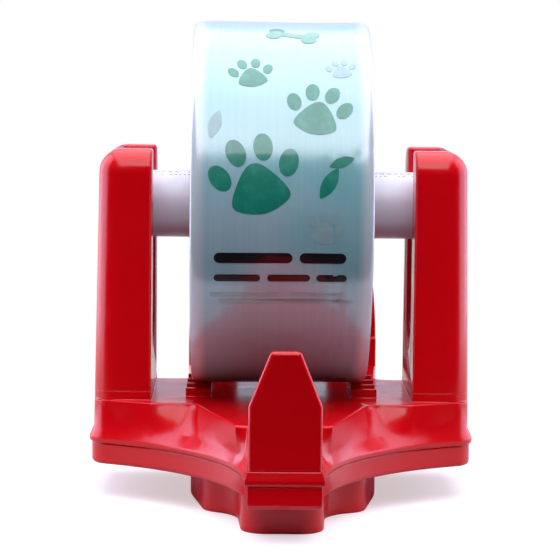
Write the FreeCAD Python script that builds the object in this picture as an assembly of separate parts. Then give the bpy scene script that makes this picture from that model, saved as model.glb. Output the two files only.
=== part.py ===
import FreeCAD, Part
import math
import os

# Counter or wall dispenser for a roll of waste bags, in millimetres.
# X runs to the right, Y from the front to the wall, Z up from the underside of the foot.
# The origin lies on the ground under the middle of the pipe.

# Roll of bags, its cardboard core and the plastic pipe that it turns on
ROLL_DIAMETER = 216.6
ROLL_WIDTH = 103.0
ROLL_RIM_ROUND = 2.5
ROLL_SHIFT = -1.7
CORE_WALL = 3.0
CORE_PLAY = 1.4
TUBE_DIAMETER = 40.0
TUBE_WALL = 2.0
TUBE_ENGAGEMENT = 18.3
TUBE_END_PLAY = 1.3
RUN_GAP = 0.3

# Posts that guide the ends of the pipe in open-topped slots
SIDE_ROOM = 25.2
SLOT_PLAY = 0.6
SLOT_FLOOR = 27.0
POST_BACK = 13.9
POST_DRAFT = 2.6
POST_LIMB = 26.4
POST_ABOVE_TUBE = 34.0
POST_WALL = 3.0
POST_CORNER = 14.0
POST_TOP_ROUND = 13.5
POST_EDGE_ROUND = 2.6
POST_PAD_HEIGHT = 5.2
POST_BOSS_HEIGHT = 22.0

# Base: foot, tray, lip and deck, from the ground up
FOOT_HEIGHT = 20.3
TRAY_HEIGHT = 12.4
LIP_HEIGHT = 3.5
SHELL_RISE = 22.3
FLARE_HEIGHT = 6.0
SHELL_WALL = 3.0
EDGE_ROUND = 1.2
TRAY_ROUND = 2.5
ROUND_STEPS = 4

# Base in plan
BASE_CORNER = 12.0
SIDE_FLARE = 2.9
LIP_OVERHANG = 2.5
TRAY_INSET = 1.5
REAR_FILLET = 8.0
REAR_SHIFT = 2.8
REAR_TAPER = 3.5
DECK_LEDGE = 10.5
BEND_HALF_WIDTH = 50.5
BEND_ROUND = 10.0
NOSE_HALF_WIDTH = 27.0
NOSE_REACH = 135.5
NOSE_STEP = 2.0
FRONT_ARM_LENGTH = 181.4
FRONT_FLARE = 1.6
FRONT_SIDE_FLARE = 2.0
WEB_LEAVING_ANGLE = 24.0
WEB_SPLITS = (0.19, 0.30, 0.40, 0.70, 0.76)

# Short ribs under the two rims of the roll, in pairs about the middle
RIB_PAIRS = 2
RIB_PITCH = 20.0
RIB_WIDTH = 3.0
RIB_HEIGHT = 5.3
RIB_OVERLENGTH = 5.0
RIB_LENGTH = 15.0

# Separator tongue at the front
TONGUE_WIDTH = 39.4
TONGUE_TIP_WIDTH = 16.0
TONGUE_DROP = 17.5
TONGUE_SHOULDER = 17.2
TONGUE_RISE = 46.6
TONGUE_THICKNESS = 8.0
TONGUE_TIP_THICKNESS = 4.0
TONGUE_BEVEL = 1.4
TONGUE_FIT = 0.1

# Plate that goes against the wall
BACK_GAP = 4.8
PLATE_WIDTH = 122.0
PLATE_THICKNESS = 5.0
PLATE_FOOT_THICKNESS = 8.0
PLATE_FOOT_RISE = 18.0
PLATE_STRAIGHT = 12.0
PLATE_ARCH = 150.0
WINDOW_WIDTH = 58.0
WINDOW_SILL = 6.0
WINDOW_HEIGHT = 26.0
WINDOW_ROUND = 4.0
WALL_HOLE_DIAMETER = 5.5
WALL_HOLE_SPACING_X = 60.0
WALL_HOLE_SPACING_Z = 60.0
WALL_HOLE_RISE = 54.0

# Lobed foot in plan
FOOT_SHIFT = 1.5
FOOT_WIDTH = 110.0
FOOT_SIDE_HALF = 30.0
FOOT_SIDE_ROUND = 120.0
FOOT_SHOULDER_X = 46.0
FOOT_SHOULDER_Y = 82.5
FOOT_SHOULDER_ROUND = 15.0
FOOT_NOTCH_X = 25.0
FOOT_NOTCH_Y = 94.0
FOOT_NOTCH_ROUND = 25.0
FOOT_LOBE_SHIFT = -0.5
FOOT_LOBE_WIDTH = 45.0
FOOT_LOBE_ROUND = 14.0
FOOT_FRONT_INSET = 35.0
FOOT_REAR_INSET = 5.0
FOOT_WALL = 3.0

# Screws and the bosses that they cut into
SCREW_DIAMETER = 4.0
SCREW_FIT = 0.1
SCREW_BITE = 9.0
SCREW_SHORT_BITE = 5.0
SCREW_TIP_ROOM = 1.5
HEAD_DIAMETER = 8.0
HEAD_HEIGHT = 2.6
HEAD_FIT = 0.4
BOSS_DIAMETER = 9.0
BOSS_WEB = 2.4
TRAY_SCREW_REAR_X = 44.0
TRAY_SCREW_REAR_INSET = 16.0
FOOT_SCREW_SIDE_X = 38.0
FOOT_SCREW_LOBE_INSET = 20.0
TONGUE_SCREW_SPACING = 20.0
PLATE_SCREW_XS = (16.0, 46.0)

# Levels and places that follow from the sizes above
TRAY_Z = FOOT_HEIGHT
LIP_Z = TRAY_Z + TRAY_HEIGHT
LIP_TOP_Z = LIP_Z + LIP_HEIGHT
FLARE_Z = LIP_TOP_Z + FLARE_HEIGHT
DECK_Z = LIP_TOP_Z + SHELL_RISE
CEILING_Z = DECK_Z - SHELL_WALL
PAD_Z = DECK_Z + POST_PAD_HEIGHT
TRAY_FLOOR_Z = TRAY_Z + SHELL_WALL
TRAY_PAD_Z = TRAY_FLOOR_Z + HEAD_HEIGHT + HEAD_FIT

ROLL_R = ROLL_DIAMETER / 2
TUBE_R = TUBE_DIAMETER / 2
TUBE_BORE_R = TUBE_R - TUBE_WALL
CORE_BORE_R = TUBE_R + CORE_PLAY
CORE_R = CORE_BORE_R + CORE_WALL
RIB_REST_Y = (RIB_PITCH - RIB_WIDTH) / 2
ROLL_Z = DECK_Z + RIB_HEIGHT + RUN_GAP + math.sqrt(ROLL_R**2 - RIB_REST_Y**2)
TUBE_Z = ROLL_Z - CORE_PLAY + RUN_GAP

POST_INNER = ROLL_WIDTH / 2 + SIDE_ROOM
SLOT_END = POST_INNER + TUBE_ENGAGEMENT + TUBE_END_PLAY
POST_OUTER = SLOT_END + POST_BACK
SLOT_HALF = TUBE_R + SLOT_PLAY
POST_HALF_DEPTH = SLOT_HALF + POST_LIMB
POST_TOP_Z = TUBE_Z + POST_ABOVE_TUBE
SLOT_SEAT_Z = DECK_Z + SLOT_FLOOR + SLOT_HALF
POST_SCREW_X = (POST_INNER + POST_OUTER) / 2
POST_SCREW_Y = SLOT_HALF + POST_LIMB / 2

DECK_FRONT = POST_HALF_DEPTH + DECK_LEDGE
LEDGE_ANGLE = math.degrees(math.atan2(DECK_LEDGE, POST_OUTER - BASE_CORNER - POST_INNER))
LIP_SIDE = POST_OUTER + SIDE_FLARE
LIP_DEPTH = POST_HALF_DEPTH + SIDE_FLARE
LIP_CORNER = BASE_CORNER + SIDE_FLARE
REAR_HALF = PLATE_WIDTH / 2
REAR_Y = ROLL_R + BACK_GAP
WALL_Y = REAR_Y + PLATE_FOOT_THICKNESS
NECK_HALF = TONGUE_WIDTH / 2
NECK_END = FRONT_ARM_LENGTH - TONGUE_THICKNESS
LIP_FRONT = FRONT_ARM_LENGTH + FRONT_FLARE
LIP_ROOT_FRONT = NECK_END + TONGUE_THICKNESS * SHELL_RISE / (DECK_Z - FLARE_Z)
TONGUE_SEAT_Z = DECK_Z - TONGUE_DROP
FOOT_FRONT = FRONT_ARM_LENGTH - FOOT_FRONT_INSET
FOOT_REAR = REAR_Y - FOOT_REAR_INSET

SCREW_R = SCREW_DIAMETER / 2
HOLE_R = SCREW_R + SCREW_FIT
HEAD_R = HEAD_DIAMETER / 2
BOSS_R = BOSS_DIAMETER / 2
PAD_R = HEAD_R + HEAD_FIT + SHELL_WALL
TONGUE_SCREW_Z = (TONGUE_SEAT_Z + CEILING_Z) / 2
PLATE_SCREW_Z = (LIP_TOP_Z + CEILING_Z) / 2

TRAY_SCREW_PLACES = (
    (-POST_SCREW_X, 0.0),
    (POST_SCREW_X, 0.0),
    (0.0, -(FOOT_FRONT + NECK_END - SHELL_WALL) / 2),
    (REAR_SHIFT - TRAY_SCREW_REAR_X, REAR_Y - TRAY_SCREW_REAR_INSET),
    (REAR_SHIFT + TRAY_SCREW_REAR_X, REAR_Y - TRAY_SCREW_REAR_INSET),
)
FOOT_SCREW_PLACES = (
    (FOOT_SHIFT - FOOT_SCREW_SIDE_X, 0.0),
    (FOOT_SHIFT + FOOT_SCREW_SIDE_X, 0.0),
    (FOOT_LOBE_SHIFT, -FOOT_FRONT + FOOT_SCREW_LOBE_INSET),
    (FOOT_LOBE_SHIFT, FOOT_REAR - FOOT_SCREW_LOBE_INSET),
)

X_AXIS = FreeCAD.Vector(1, 0, 0)
Y_AXIS = FreeCAD.Vector(0, 1, 0)
Z_AXIS = FreeCAD.Vector(0, 0, 1)
SMALL = 1e-6


def point(x, y, z=0.0):
    """A point of the model."""
    return FreeCAD.Vector(x, y, z)


def block(x0, x1, y0, y1, z0, z1):
    """A box between two corners."""
    return Part.makeBox(x1 - x0, y1 - y0, z1 - z0, point(x0, y0, z0))


def rod(radius, start, axis, length):
    """A round bar from a point along an axis."""
    return Part.makeCylinder(radius, length, start, axis)


def tube(outer, bore, start, axis, length):
    """A round bar with a bore right through it."""
    return rod(outer, start, axis, length).cut(rod(bore, start, axis, length))


def joined(shapes):
    """Several solids fused into one, with the seams between flush faces removed."""
    return shapes[0].fuse(shapes[1:]).removeSplitter()


def straight(start, end):
    """An outline segment that runs straight."""
    return (start, (start + end) * 0.5, end)


def on_circle(centre, radius, angle):
    """The point of a circle at an angle in degrees."""
    turn = math.radians(angle)
    return centre + point(math.cos(turn), math.sin(turn)) * radius


def rounded(centre, radius, angle_0, angle_1):
    """An outline segment along a circle, between two angles in degrees."""
    angles = (angle_0, (angle_0 + angle_1) / 2, angle_1)
    return tuple(on_circle(centre, radius, angle) for angle in angles)


def closed(make_half):
    """A closed outline from a function that draws a left half from the rear middle to the front middle.

    The function takes the half width of the rear arm, which isn't the same on the two sides.
    """
    left = make_half(REAR_HALF - REAR_SHIFT)
    right = make_half(REAR_HALF + REAR_SHIFT)
    return left + [tuple(point(-p.x, p.y) for p in reversed(segment)) for segment in reversed(right)]


def blended(outline_a, outline_b, share):
    """The outline that lies a share of the way from one outline to another."""
    pairs = zip(outline_a, outline_b)
    return [tuple(p + (q - p) * share for p, q in zip(a, b)) for a, b in pairs]


def edge_at(segment, z):
    """The edge of an outline segment at a height."""
    start, middle, end = (point(p.x, p.y, z) for p in segment)
    chord = end - start
    if (middle - start).cross(chord).Length < SMALL * chord.Length**2:
        return Part.LineSegment(start, end).toShape()
    return Part.Arc(start, middle, end).toShape()


def wire_at(outline, z):
    """The closed wire of an outline at a height."""
    return Part.Wire([edge_at(segment, z) for segment in outline])


def stack(levels):
    """A solid through outlines at several heights, straight between each and the next."""
    return Part.makeLoft([wire_at(outline, z) for outline, z in levels], True, True)


def prism(outline, z0, z1):
    """An outline raised between two heights."""
    return Part.Face(wire_at(outline, z0)).extrude(Z_AXIS * (z1 - z0))


def polygon_outline(corners):
    """A closed outline through corners (x, y, radius), each rounded by its own radius."""
    segments = []
    count = len(corners)
    joints = []
    for index in range(count):
        x, y, radius = corners[index]
        here = point(x, y)
        before = (point(*corners[index - 1][:2]) - here).normalize()
        after = (point(*corners[(index + 1) % count][:2]) - here).normalize()
        half_angle = before.getAngle(after) / 2
        reach = radius / math.tan(half_angle)
        bisector = (before + after).normalize()
        middle = here + bisector * (radius / math.sin(half_angle) - radius)
        joints.append((here + before * reach, middle, here + after * reach))
    for index in range(count):
        segments.append(joints[index])
        segments.append(straight(joints[index][2], joints[(index + 1) % count][0]))
    return segments


def arm_half(side, depth, corner, rear_half, rear, fillet, leaving_angle):
    """The left half outline from the rear middle round to the end of the front left corner."""
    rear_end = point(-rear_half, rear)
    inner = point(-rear_half + REAR_TAPER - fillet, depth + fillet)
    rear_centre = point(-side + corner, depth - corner)
    front_centre = point(-side + corner, -depth + corner)
    into_corner = on_circle(rear_centre, corner, 90)
    return [
        straight(point(0, rear), rear_end),
        straight(rear_end, on_circle(inner, fillet, 0)),
        rounded(inner, fillet, 0, -90),
        straight(on_circle(inner, fillet, -90), into_corner),
        rounded(rear_centre, corner, 90, 180),
        straight(on_circle(rear_centre, corner, 180), on_circle(front_centre, corner, 180)),
        rounded(front_centre, corner, 180, 270 - leaving_angle),
    ]


def deck_half(inset, rear_inset, rear_half):
    """The left half of the deck's outline, drawn in by an inset."""
    half = arm_half(
        POST_OUTER - inset,
        POST_HALF_DEPTH - inset,
        BASE_CORNER - inset,
        rear_half - inset,
        REAR_Y - rear_inset,
        REAR_FILLET + inset,
        LEDGE_ANGLE,
    )
    ledge = point(-POST_INNER, -DECK_FRONT + inset)
    nose = point(-NOSE_HALF_WIDTH + inset, -NOSE_REACH + inset)
    bend = point(-BEND_HALF_WIDTH + inset, -DECK_FRONT + inset)
    slant = (nose - bend).normalize()
    round_in = bend - X_AXIS * BEND_ROUND
    round_out = bend + slant * BEND_ROUND
    round_middle = bend + (slant - X_AXIS) * (BEND_ROUND / 4)
    neck = point(-NECK_HALF + inset, -NOSE_REACH - NOSE_STEP + inset)
    neck_end = point(-NECK_HALF + inset, -NECK_END + inset)
    half.append(straight(half[-1][2], ledge))
    half.append(straight(ledge, round_in))
    half.append((round_in, round_middle, round_out))
    half.append(straight(round_out, nose))
    half.append(straight(nose, neck))
    half.append(straight(neck, neck_end))
    half.append(straight(neck_end, point(0, neck_end.y)))
    return half


def deck_outline(inset, rear_inset):
    """The outline of the deck, drawn in by an inset."""
    return closed(lambda rear_half: deck_half(inset, rear_inset, rear_half))


def web_circle():
    """Centre and radius of the hollow curve that sweeps from the side arm to the front of the lip."""
    corner_centre = point(-LIP_SIDE + LIP_CORNER, -LIP_DEPTH + LIP_CORNER)
    leaving = 270 - WEB_LEAVING_ANGLE
    start = on_circle(corner_centre, LIP_CORNER, leaving)
    outward = on_circle(point(0, 0), 1, leaving)
    chord = start - point(-NECK_HALF - FRONT_SIDE_FLARE, -LIP_FRONT)
    radius = -chord.dot(chord) / (2 * outward.dot(chord))
    return start + outward * radius, radius


def lip_half(inset, rear_inset, front, rear_half):
    """The left half of the lip's outline, drawn in by an inset, with its front end at a distance."""
    half = arm_half(
        LIP_SIDE - inset,
        LIP_DEPTH - inset,
        LIP_CORNER - inset,
        rear_half + LIP_OVERHANG - inset,
        REAR_Y - rear_inset,
        REAR_FILLET - LIP_OVERHANG + inset,
        WEB_LEAVING_ANGLE,
    )
    centre, radius = web_circle()
    reach = radius + inset
    angle_0 = 90 - WEB_LEAVING_ANGLE
    angle_1 = math.degrees(math.asin((-front - centre.y) / reach))
    angles = [angle_0 + (angle_1 - angle_0) * share for share in (0.0, *WEB_SPLITS, 1.0)]
    for start, end in zip(angles, angles[1:]):
        half.append(rounded(centre, reach, start, end))
    front_corner = half[-1][2]
    half.append(straight(front_corner, point(0, front_corner.y)))
    return half


def lip_outline(inset, rear_inset, front):
    """The outline of the lip, drawn in by an inset, with its front end at a distance."""
    return closed(lambda rear_half: lip_half(inset, rear_inset, front, rear_half))


def drilled(body, radius, places, z0, z1):
    """A body with upright holes at places in plan."""
    holes = [rod(radius, point(x, y, z0), Z_AXIS, z1 - z0) for x, y in places]
    return body.cut(holes)


def screw(seat, axis, length):
    """A pan-head screw whose head bears on a seat point and whose shank runs along an axis."""
    head = rod(HEAD_R, seat - axis * HEAD_HEIGHT, axis, HEAD_HEIGHT)
    return joined([head, rod(SCREW_R, seat, axis, length)])


def post_screw_places(side):
    """Where the two screws of one post stand in plan."""
    return [(side * POST_SCREW_X, y) for y in (-POST_SCREW_Y, POST_SCREW_Y)]


def rear_screw_points():
    """Seats of the screws that hold the back plate to the end wall of the rear arm."""
    xs = [REAR_SHIFT + side * x for side in (-1, 1) for x in PLATE_SCREW_XS]
    return [point(x, REAR_Y - SHELL_WALL, PLATE_SCREW_Z) for x in xs]


def tongue_screw_points():
    """Seats of the screws that hold the tongue to the end wall of the front arm."""
    half = TONGUE_SCREW_SPACING / 2
    return [point(x, -NECK_END + SHELL_WALL, TONGUE_SCREW_Z) for x in (-half, half)]


def edge_levels(radius):
    """Insets and depths of the levels that round an edge, from its face to its wall."""
    turns = [math.pi / 2 * step / ROUND_STEPS for step in range(ROUND_STEPS + 1)]
    return [(radius * (1 - math.sin(turn)), radius * (1 - math.cos(turn))) for turn in turns]


def make_base_shell():
    """Upper moulding: deck with ribs and post pads, flared walls, lip, and bosses hanging inside.

    The front wall meets the face of the tongue where it starts to flare out to the lip.
    """
    deck = deck_outline(0.0, 0.0)
    lip_root = lip_outline(LIP_OVERHANG, 0.0, LIP_ROOT_FRONT)
    lip = lip_outline(0.0, 0.0, LIP_FRONT)
    outer = stack([
        *((deck_outline(inset, 0.0), DECK_Z - depth) for inset, depth in edge_levels(EDGE_ROUND)),
        (blended(deck, lip_root, (DECK_Z - FLARE_Z) / SHELL_RISE), FLARE_Z),
        (lip, LIP_TOP_Z),
        (lip, LIP_Z + EDGE_ROUND),
        (lip_outline(EDGE_ROUND, 0.0, LIP_FRONT - EDGE_ROUND), LIP_Z),
    ])
    inset = LIP_OVERHANG + SHELL_WALL
    inner = stack([
        (deck_outline(SHELL_WALL, SHELL_WALL), CEILING_Z),
        (lip_outline(inset, SHELL_WALL, NECK_END - SHELL_WALL), LIP_Z),
    ])
    shell = outer.cut(inner)
    seat = block(
        -NECK_HALF - TONGUE_FIT, NECK_HALF + TONGUE_FIT,
        -LIP_FRONT, -NECK_END,
        TONGUE_SEAT_Z, DECK_Z,
    )
    shell = shell.cut(seat)
    rib_end = ROLL_WIDTH / 2 + RIB_OVERLENGTH
    pad = post_block(0.0, DECK_Z - EDGE_ROUND, PAD_Z)
    pieces = [shell, pad, pad.mirror(point(0, 0), X_AXIS)]
    for pair in range(RIB_PAIRS):
        for side in (-1, 1):
            y = side * RIB_PITCH * (pair + 0.5)
            half = RIB_WIDTH / 2
            for left in (-rib_end, rib_end - RIB_LENGTH):
                pieces.append(
                    block(left, left + RIB_LENGTH, y - half, y + half, CEILING_Z, DECK_Z + RIB_HEIGHT)
                )
    for x, y in TRAY_SCREW_PLACES:
        pieces.append(rod(BOSS_R, point(x, y, TRAY_PAD_Z), Z_AXIS, DECK_Z - SHELL_WALL / 2 - TRAY_PAD_Z))
    shell = joined(pieces)
    shell = drilled(shell, HOLE_R, TRAY_SCREW_PLACES, TRAY_PAD_Z, TRAY_PAD_Z + SCREW_BITE + SCREW_TIP_ROOM)
    for side in (-1, 1):
        shell = drilled(shell, HOLE_R, post_screw_places(side), CEILING_Z, PAD_Z)
    for seat_point in tongue_screw_points():
        shell = shell.cut(rod(HOLE_R, seat_point, -Y_AXIS, SHELL_WALL))
    for seat_point in rear_screw_points():
        shell = shell.cut(rod(HOLE_R, seat_point, Y_AXIS, SHELL_WALL))
    return shell


def make_base_tray():
    """Lower cover under the lip: a shallow tray with pads that sink the screw heads."""
    levels = [(TRAY_INSET + extra, TRAY_Z + rise) for extra, rise in edge_levels(TRAY_ROUND)]
    levels.append((TRAY_INSET, LIP_Z))
    body = stack([(lip_outline(inset, 0.0, LIP_FRONT - inset), z) for inset, z in levels])
    inset = TRAY_INSET + SHELL_WALL
    body = body.cut(prism(lip_outline(inset, SHELL_WALL, LIP_FRONT - inset), TRAY_FLOOR_Z, LIP_Z))
    pads = [rod(PAD_R, point(x, y, TRAY_Z), Z_AXIS, TRAY_PAD_Z - TRAY_Z) for x, y in TRAY_SCREW_PLACES]
    body = joined([body, *pads])
    body = drilled(body, HEAD_R + HEAD_FIT, TRAY_SCREW_PLACES, TRAY_Z, TRAY_PAD_Z - SHELL_WALL)
    body = drilled(body, HOLE_R, TRAY_SCREW_PLACES, TRAY_Z, TRAY_PAD_Z)
    return drilled(body, HOLE_R, FOOT_SCREW_PLACES, TRAY_Z, TRAY_FLOOR_Z)


def foot_outline(inset):
    """The lobed outline of the foot, drawn in by an inset, with the rear a shorter copy of the front."""
    lobe = FOOT_LOBE_WIDTH / 2 - inset
    front_left = [
        (-FOOT_WIDTH / 2 + inset, -FOOT_SIDE_HALF, FOOT_SIDE_ROUND - inset, FOOT_SHIFT),
        (-FOOT_SHOULDER_X + inset, -FOOT_SHOULDER_Y + inset, FOOT_SHOULDER_ROUND - inset, FOOT_SHIFT),
        (-FOOT_NOTCH_X + inset, -FOOT_NOTCH_Y + inset, FOOT_NOTCH_ROUND + inset, FOOT_LOBE_SHIFT),
        (-lobe, -FOOT_FRONT + inset, FOOT_LOBE_ROUND - inset, FOOT_LOBE_SHIFT),
    ]
    shortening = (FOOT_REAR - inset) / (FOOT_FRONT - inset)
    rear_left = [(x, -y * shortening, radius * shortening, shift) for x, y, radius, shift in front_left]
    left = rear_left[::-1] + front_left
    right = [(-x, y, radius, shift) for x, y, radius, shift in reversed(left)]
    return polygon_outline([(x + shift, y, radius) for x, y, radius, shift in left + right])


def make_pedestal_foot():
    """Lobed foot: a cup that stands on its floor, with bosses for the screws from the tray."""
    body = prism(foot_outline(0.0), 0.0, FOOT_HEIGHT)
    body = body.cut(prism(foot_outline(FOOT_WALL), FOOT_WALL, FOOT_HEIGHT))
    bosses = [rod(BOSS_R, point(x, y), Z_AXIS, FOOT_HEIGHT) for x, y in FOOT_SCREW_PLACES]
    body = joined([body, *bosses])
    depth = SCREW_BITE + SCREW_TIP_ROOM
    return drilled(body, HOLE_R, FOOT_SCREW_PLACES, FOOT_HEIGHT - depth, FOOT_HEIGHT)


def edges_where(shape, test):
    """The edges of a shape whose middle point passes a test."""
    return [edge for edge in shape.Edges if test(edge.CenterOfMass)]


def slot_core(grow):
    """The space of the right post's slot, grown all round by a wall."""
    half = SLOT_HALF + grow
    seat = point(POST_INNER, 0, SLOT_SEAT_Z)
    length = SLOT_END + grow - POST_INNER
    upper = block(POST_INNER, POST_INNER + length, -half, half, SLOT_SEAT_Z, POST_TOP_Z)
    return joined([upper, rod(half, seat, X_AXIS, length)])


def post_side(z):
    """How far out the right post's outer side lies at a height: it leans in from its pad to its top."""
    return POST_OUTER - POST_DRAFT * max(0.0, z - PAD_Z) / (POST_TOP_Z - PAD_Z)


def post_block(inset, z0, z1):
    """A block on the right post's outline, drawn in by an inset, with its outer corners rounded."""
    inner = POST_INNER + inset
    outer_0, outer_1 = post_side(z0) - inset, post_side(z1) - inset
    depth = POST_HALF_DEPTH - inset
    corners = [
        point(inner, -depth, z0),
        point(outer_0, -depth, z0),
        point(outer_1, -depth, z1),
        point(inner, -depth, z1),
    ]
    body = Part.Face(Part.makePolygon(corners + corners[:1])).extrude(Y_AXIS * 2 * depth)
    outer = (outer_0 + outer_1) / 2
    uprights = edges_where(body, lambda c: abs(c.x - outer) < SMALL and abs(abs(c.y) - depth) < SMALL)
    return body.makeFillet(POST_CORNER - inset, uprights)


def make_right_post():
    """Hollow post with an open-topped slot in its inner face, open below over its pad."""
    body = post_block(0.0, PAD_Z, POST_TOP_Z)
    top_edges = edges_where(
        body, lambda c: abs(c.z - POST_TOP_Z) < SMALL and c.x > POST_INNER + SMALL
    )
    body = body.makeFillet(POST_TOP_ROUND, top_edges)
    cavity = post_block(POST_WALL, PAD_Z, POST_TOP_Z - POST_TOP_ROUND).cut(slot_core(POST_WALL))
    body = body.cut(cavity).cut(slot_core(0.0))
    mouth = edges_where(
        body,
        lambda c: abs(c.x - POST_INNER) < SMALL
        and c.z > PAD_Z + SMALL
        and abs(c.y) < SLOT_HALF + SMALL,
    )
    body = body.makeFillet(POST_EDGE_ROUND, mouth)
    pieces = [body]
    for x, y in post_screw_places(1):
        half = BOSS_WEB / 2
        top = PAD_Z + POST_BOSS_HEIGHT
        pieces.append(rod(BOSS_R, point(x, y, PAD_Z), Z_AXIS, POST_BOSS_HEIGHT))
        web_ends = (POST_INNER + POST_WALL / 2, POST_OUTER - POST_WALL / 2)
        pieces.append(block(*web_ends, y - half, y + half, PAD_Z, top))
    body = joined(pieces)
    return drilled(body, HOLE_R, post_screw_places(1), PAD_Z, PAD_Z + SCREW_BITE + SCREW_TIP_ROOM)


def make_tongue():
    """Separator tongue: a tapered blade that stands on the front ledge of the shell."""
    half = TONGUE_WIDTH / 2
    tip_half = TONGUE_TIP_WIDTH / 2
    shoulder_z = DECK_Z + TONGUE_SHOULDER
    tip_z = DECK_Z + TONGUE_RISE
    front = -FRONT_ARM_LENGTH
    back = -NECK_END
    left = [(-half, TONGUE_SEAT_Z), (-half, shoulder_z), (-tip_half, tip_z)]
    right = [(-x, z) for x, z in reversed(left)]
    corners = [point(x, front, z) for x, z in left + right]
    blade = Part.Face(Part.makePolygon(corners + corners[:1])).extrude(Y_AXIS * TONGUE_THICKNESS)
    front_edges = edges_where(
        blade, lambda c: abs(c.y - front) < SMALL and c.z > TONGUE_SEAT_Z + SMALL
    )
    blade = blade.makeChamfer(TONGUE_BEVEL, front_edges)
    lean = [
        point(-half, back, DECK_Z),
        point(-half, front + TONGUE_TIP_THICKNESS, tip_z),
        point(-half, back, tip_z),
    ]
    blade = blade.cut(Part.Face(Part.makePolygon(lean + lean[:1])).extrude(X_AXIS * TONGUE_WIDTH))
    for seat in tongue_screw_points():
        depth = SHELL_WALL + SCREW_SHORT_BITE + SCREW_TIP_ROOM
        blade = blade.cut(rod(HOLE_R, seat, -Y_AXIS, depth))
    return blade


def arch_face(y, bottom_z):
    """The face of the wall plate, straight-sided below and arched above."""
    left = REAR_SHIFT - REAR_HALF
    right = REAR_SHIFT + REAR_HALF
    spring_z = DECK_Z + PLATE_STRAIGHT
    middle = point(REAR_SHIFT, y, spring_z)
    arch = Part.Ellipse(middle + Z_AXIS * PLATE_ARCH, middle + X_AXIS * REAR_HALF, middle)
    quarter = math.pi / 2
    over = Part.ArcOfEllipse(arch, -quarter, quarter).toShape()
    corners = [
        point(left, y, spring_z),
        point(left, y, bottom_z),
        point(right, y, bottom_z),
        point(right, y, spring_z),
    ]
    return Part.Face(Part.Wire(Part.__sortEdges__([over, *Part.makePolygon(corners).Edges])))


def make_back_plate():
    """Wall plate with a thicker foot, a window low in the middle and four wall holes."""
    body = arch_face(REAR_Y, LIP_Z).extrude(Y_AXIS * PLATE_FOOT_THICKNESS)
    step = block(
        REAR_SHIFT - REAR_HALF, REAR_SHIFT + REAR_HALF,
        REAR_Y, WALL_Y - PLATE_THICKNESS,
        DECK_Z + PLATE_FOOT_RISE, DECK_Z + PLATE_STRAIGHT + PLATE_ARCH,
    )
    body = body.cut(step)
    sill = DECK_Z + WINDOW_SILL
    window_left = REAR_SHIFT - WINDOW_WIDTH / 2
    window = block(window_left, window_left + WINDOW_WIDTH, REAR_Y, WALL_Y, sill, sill + WINDOW_HEIGHT)
    through = edges_where(window, lambda c: abs(c.y - (REAR_Y + WALL_Y) / 2) < SMALL)
    body = body.cut(window.makeFillet(WINDOW_ROUND, through))
    for side in (-1, 1):
        for row in (0, 1):
            z = DECK_Z + WALL_HOLE_RISE + row * WALL_HOLE_SPACING_Z
            start = point(REAR_SHIFT + side * WALL_HOLE_SPACING_X / 2, REAR_Y, z)
            body = body.cut(rod(WALL_HOLE_DIAMETER / 2, start, Y_AXIS, PLATE_FOOT_THICKNESS))
    for seat in rear_screw_points():
        body = body.cut(rod(HOLE_R, seat, Y_AXIS, SHELL_WALL + SCREW_SHORT_BITE + SCREW_TIP_ROOM))
    return body


def make_axle_tube():
    """Plastic pipe whose ends ride in the slots."""
    half = POST_INNER + TUBE_ENGAGEMENT
    return tube(TUBE_R, TUBE_BORE_R, point(-half, 0, TUBE_Z), X_AXIS, 2 * half)


def make_roll_core():
    """Cardboard core of the roll."""
    start = point(ROLL_SHIFT - ROLL_WIDTH / 2, 0, ROLL_Z)
    return tube(CORE_R, CORE_BORE_R, start, X_AXIS, ROLL_WIDTH)


def make_bag_roll():
    """Bags wound on the core, with softly rounded rims."""
    start = point(ROLL_SHIFT - ROLL_WIDTH / 2, 0, ROLL_Z)
    body = rod(ROLL_R, start, X_AXIS, ROLL_WIDTH)
    body = body.makeFillet(ROLL_RIM_ROUND, [edge for edge in body.Edges if edge.Closed])
    return body.cut(rod(CORE_R, start, X_AXIS, ROLL_WIDTH))


def upright_screws(places, seat_z, axis, length):
    """A set of like screws along Z at places in plan."""
    return Part.makeCompound([screw(point(x, y, seat_z), axis, length) for x, y in places])


def make_parts():
    """Every node of the dispenser by name."""
    right_post = make_right_post()
    floor_grip = SHELL_WALL + SCREW_BITE
    pad_grip = floor_grip + POST_PAD_HEIGHT
    wall_grip = SHELL_WALL + SCREW_SHORT_BITE
    return {
        "base_shell": make_base_shell(),
        "base_tray": make_base_tray(),
        "pedestal_foot": make_pedestal_foot(),
        "left_post": right_post.mirror(point(0, 0, 0), X_AXIS),
        "right_post": right_post,
        "separator_tongue": make_tongue(),
        "back_plate": make_back_plate(),
        "axle_tube": make_axle_tube(),
        "roll_core": make_roll_core(),
        "bag_roll": make_bag_roll(),
        "left_post_screws": upright_screws(post_screw_places(-1), CEILING_Z, Z_AXIS, pad_grip),
        "right_post_screws": upright_screws(post_screw_places(1), CEILING_Z, Z_AXIS, pad_grip),
        "tray_screws": upright_screws(TRAY_SCREW_PLACES, TRAY_PAD_Z - SHELL_WALL, Z_AXIS, floor_grip),
        "foot_screws": upright_screws(FOOT_SCREW_PLACES, TRAY_FLOOR_Z, -Z_AXIS, floor_grip),
        "tongue_screws": Part.makeCompound([screw(p, -Y_AXIS, wall_grip) for p in tongue_screw_points()]),
        "plate_screws": Part.makeCompound([screw(p, Y_AXIS, wall_grip) for p in rear_screw_points()]),
    }


os.makedirs("parts", exist_ok=True)
for name, shape in make_parts().items():
    shape.exportStep(f"parts/{name}.step")
    print(name, len(shape.Solids), shape.isValid(), round(shape.Volume))
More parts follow.
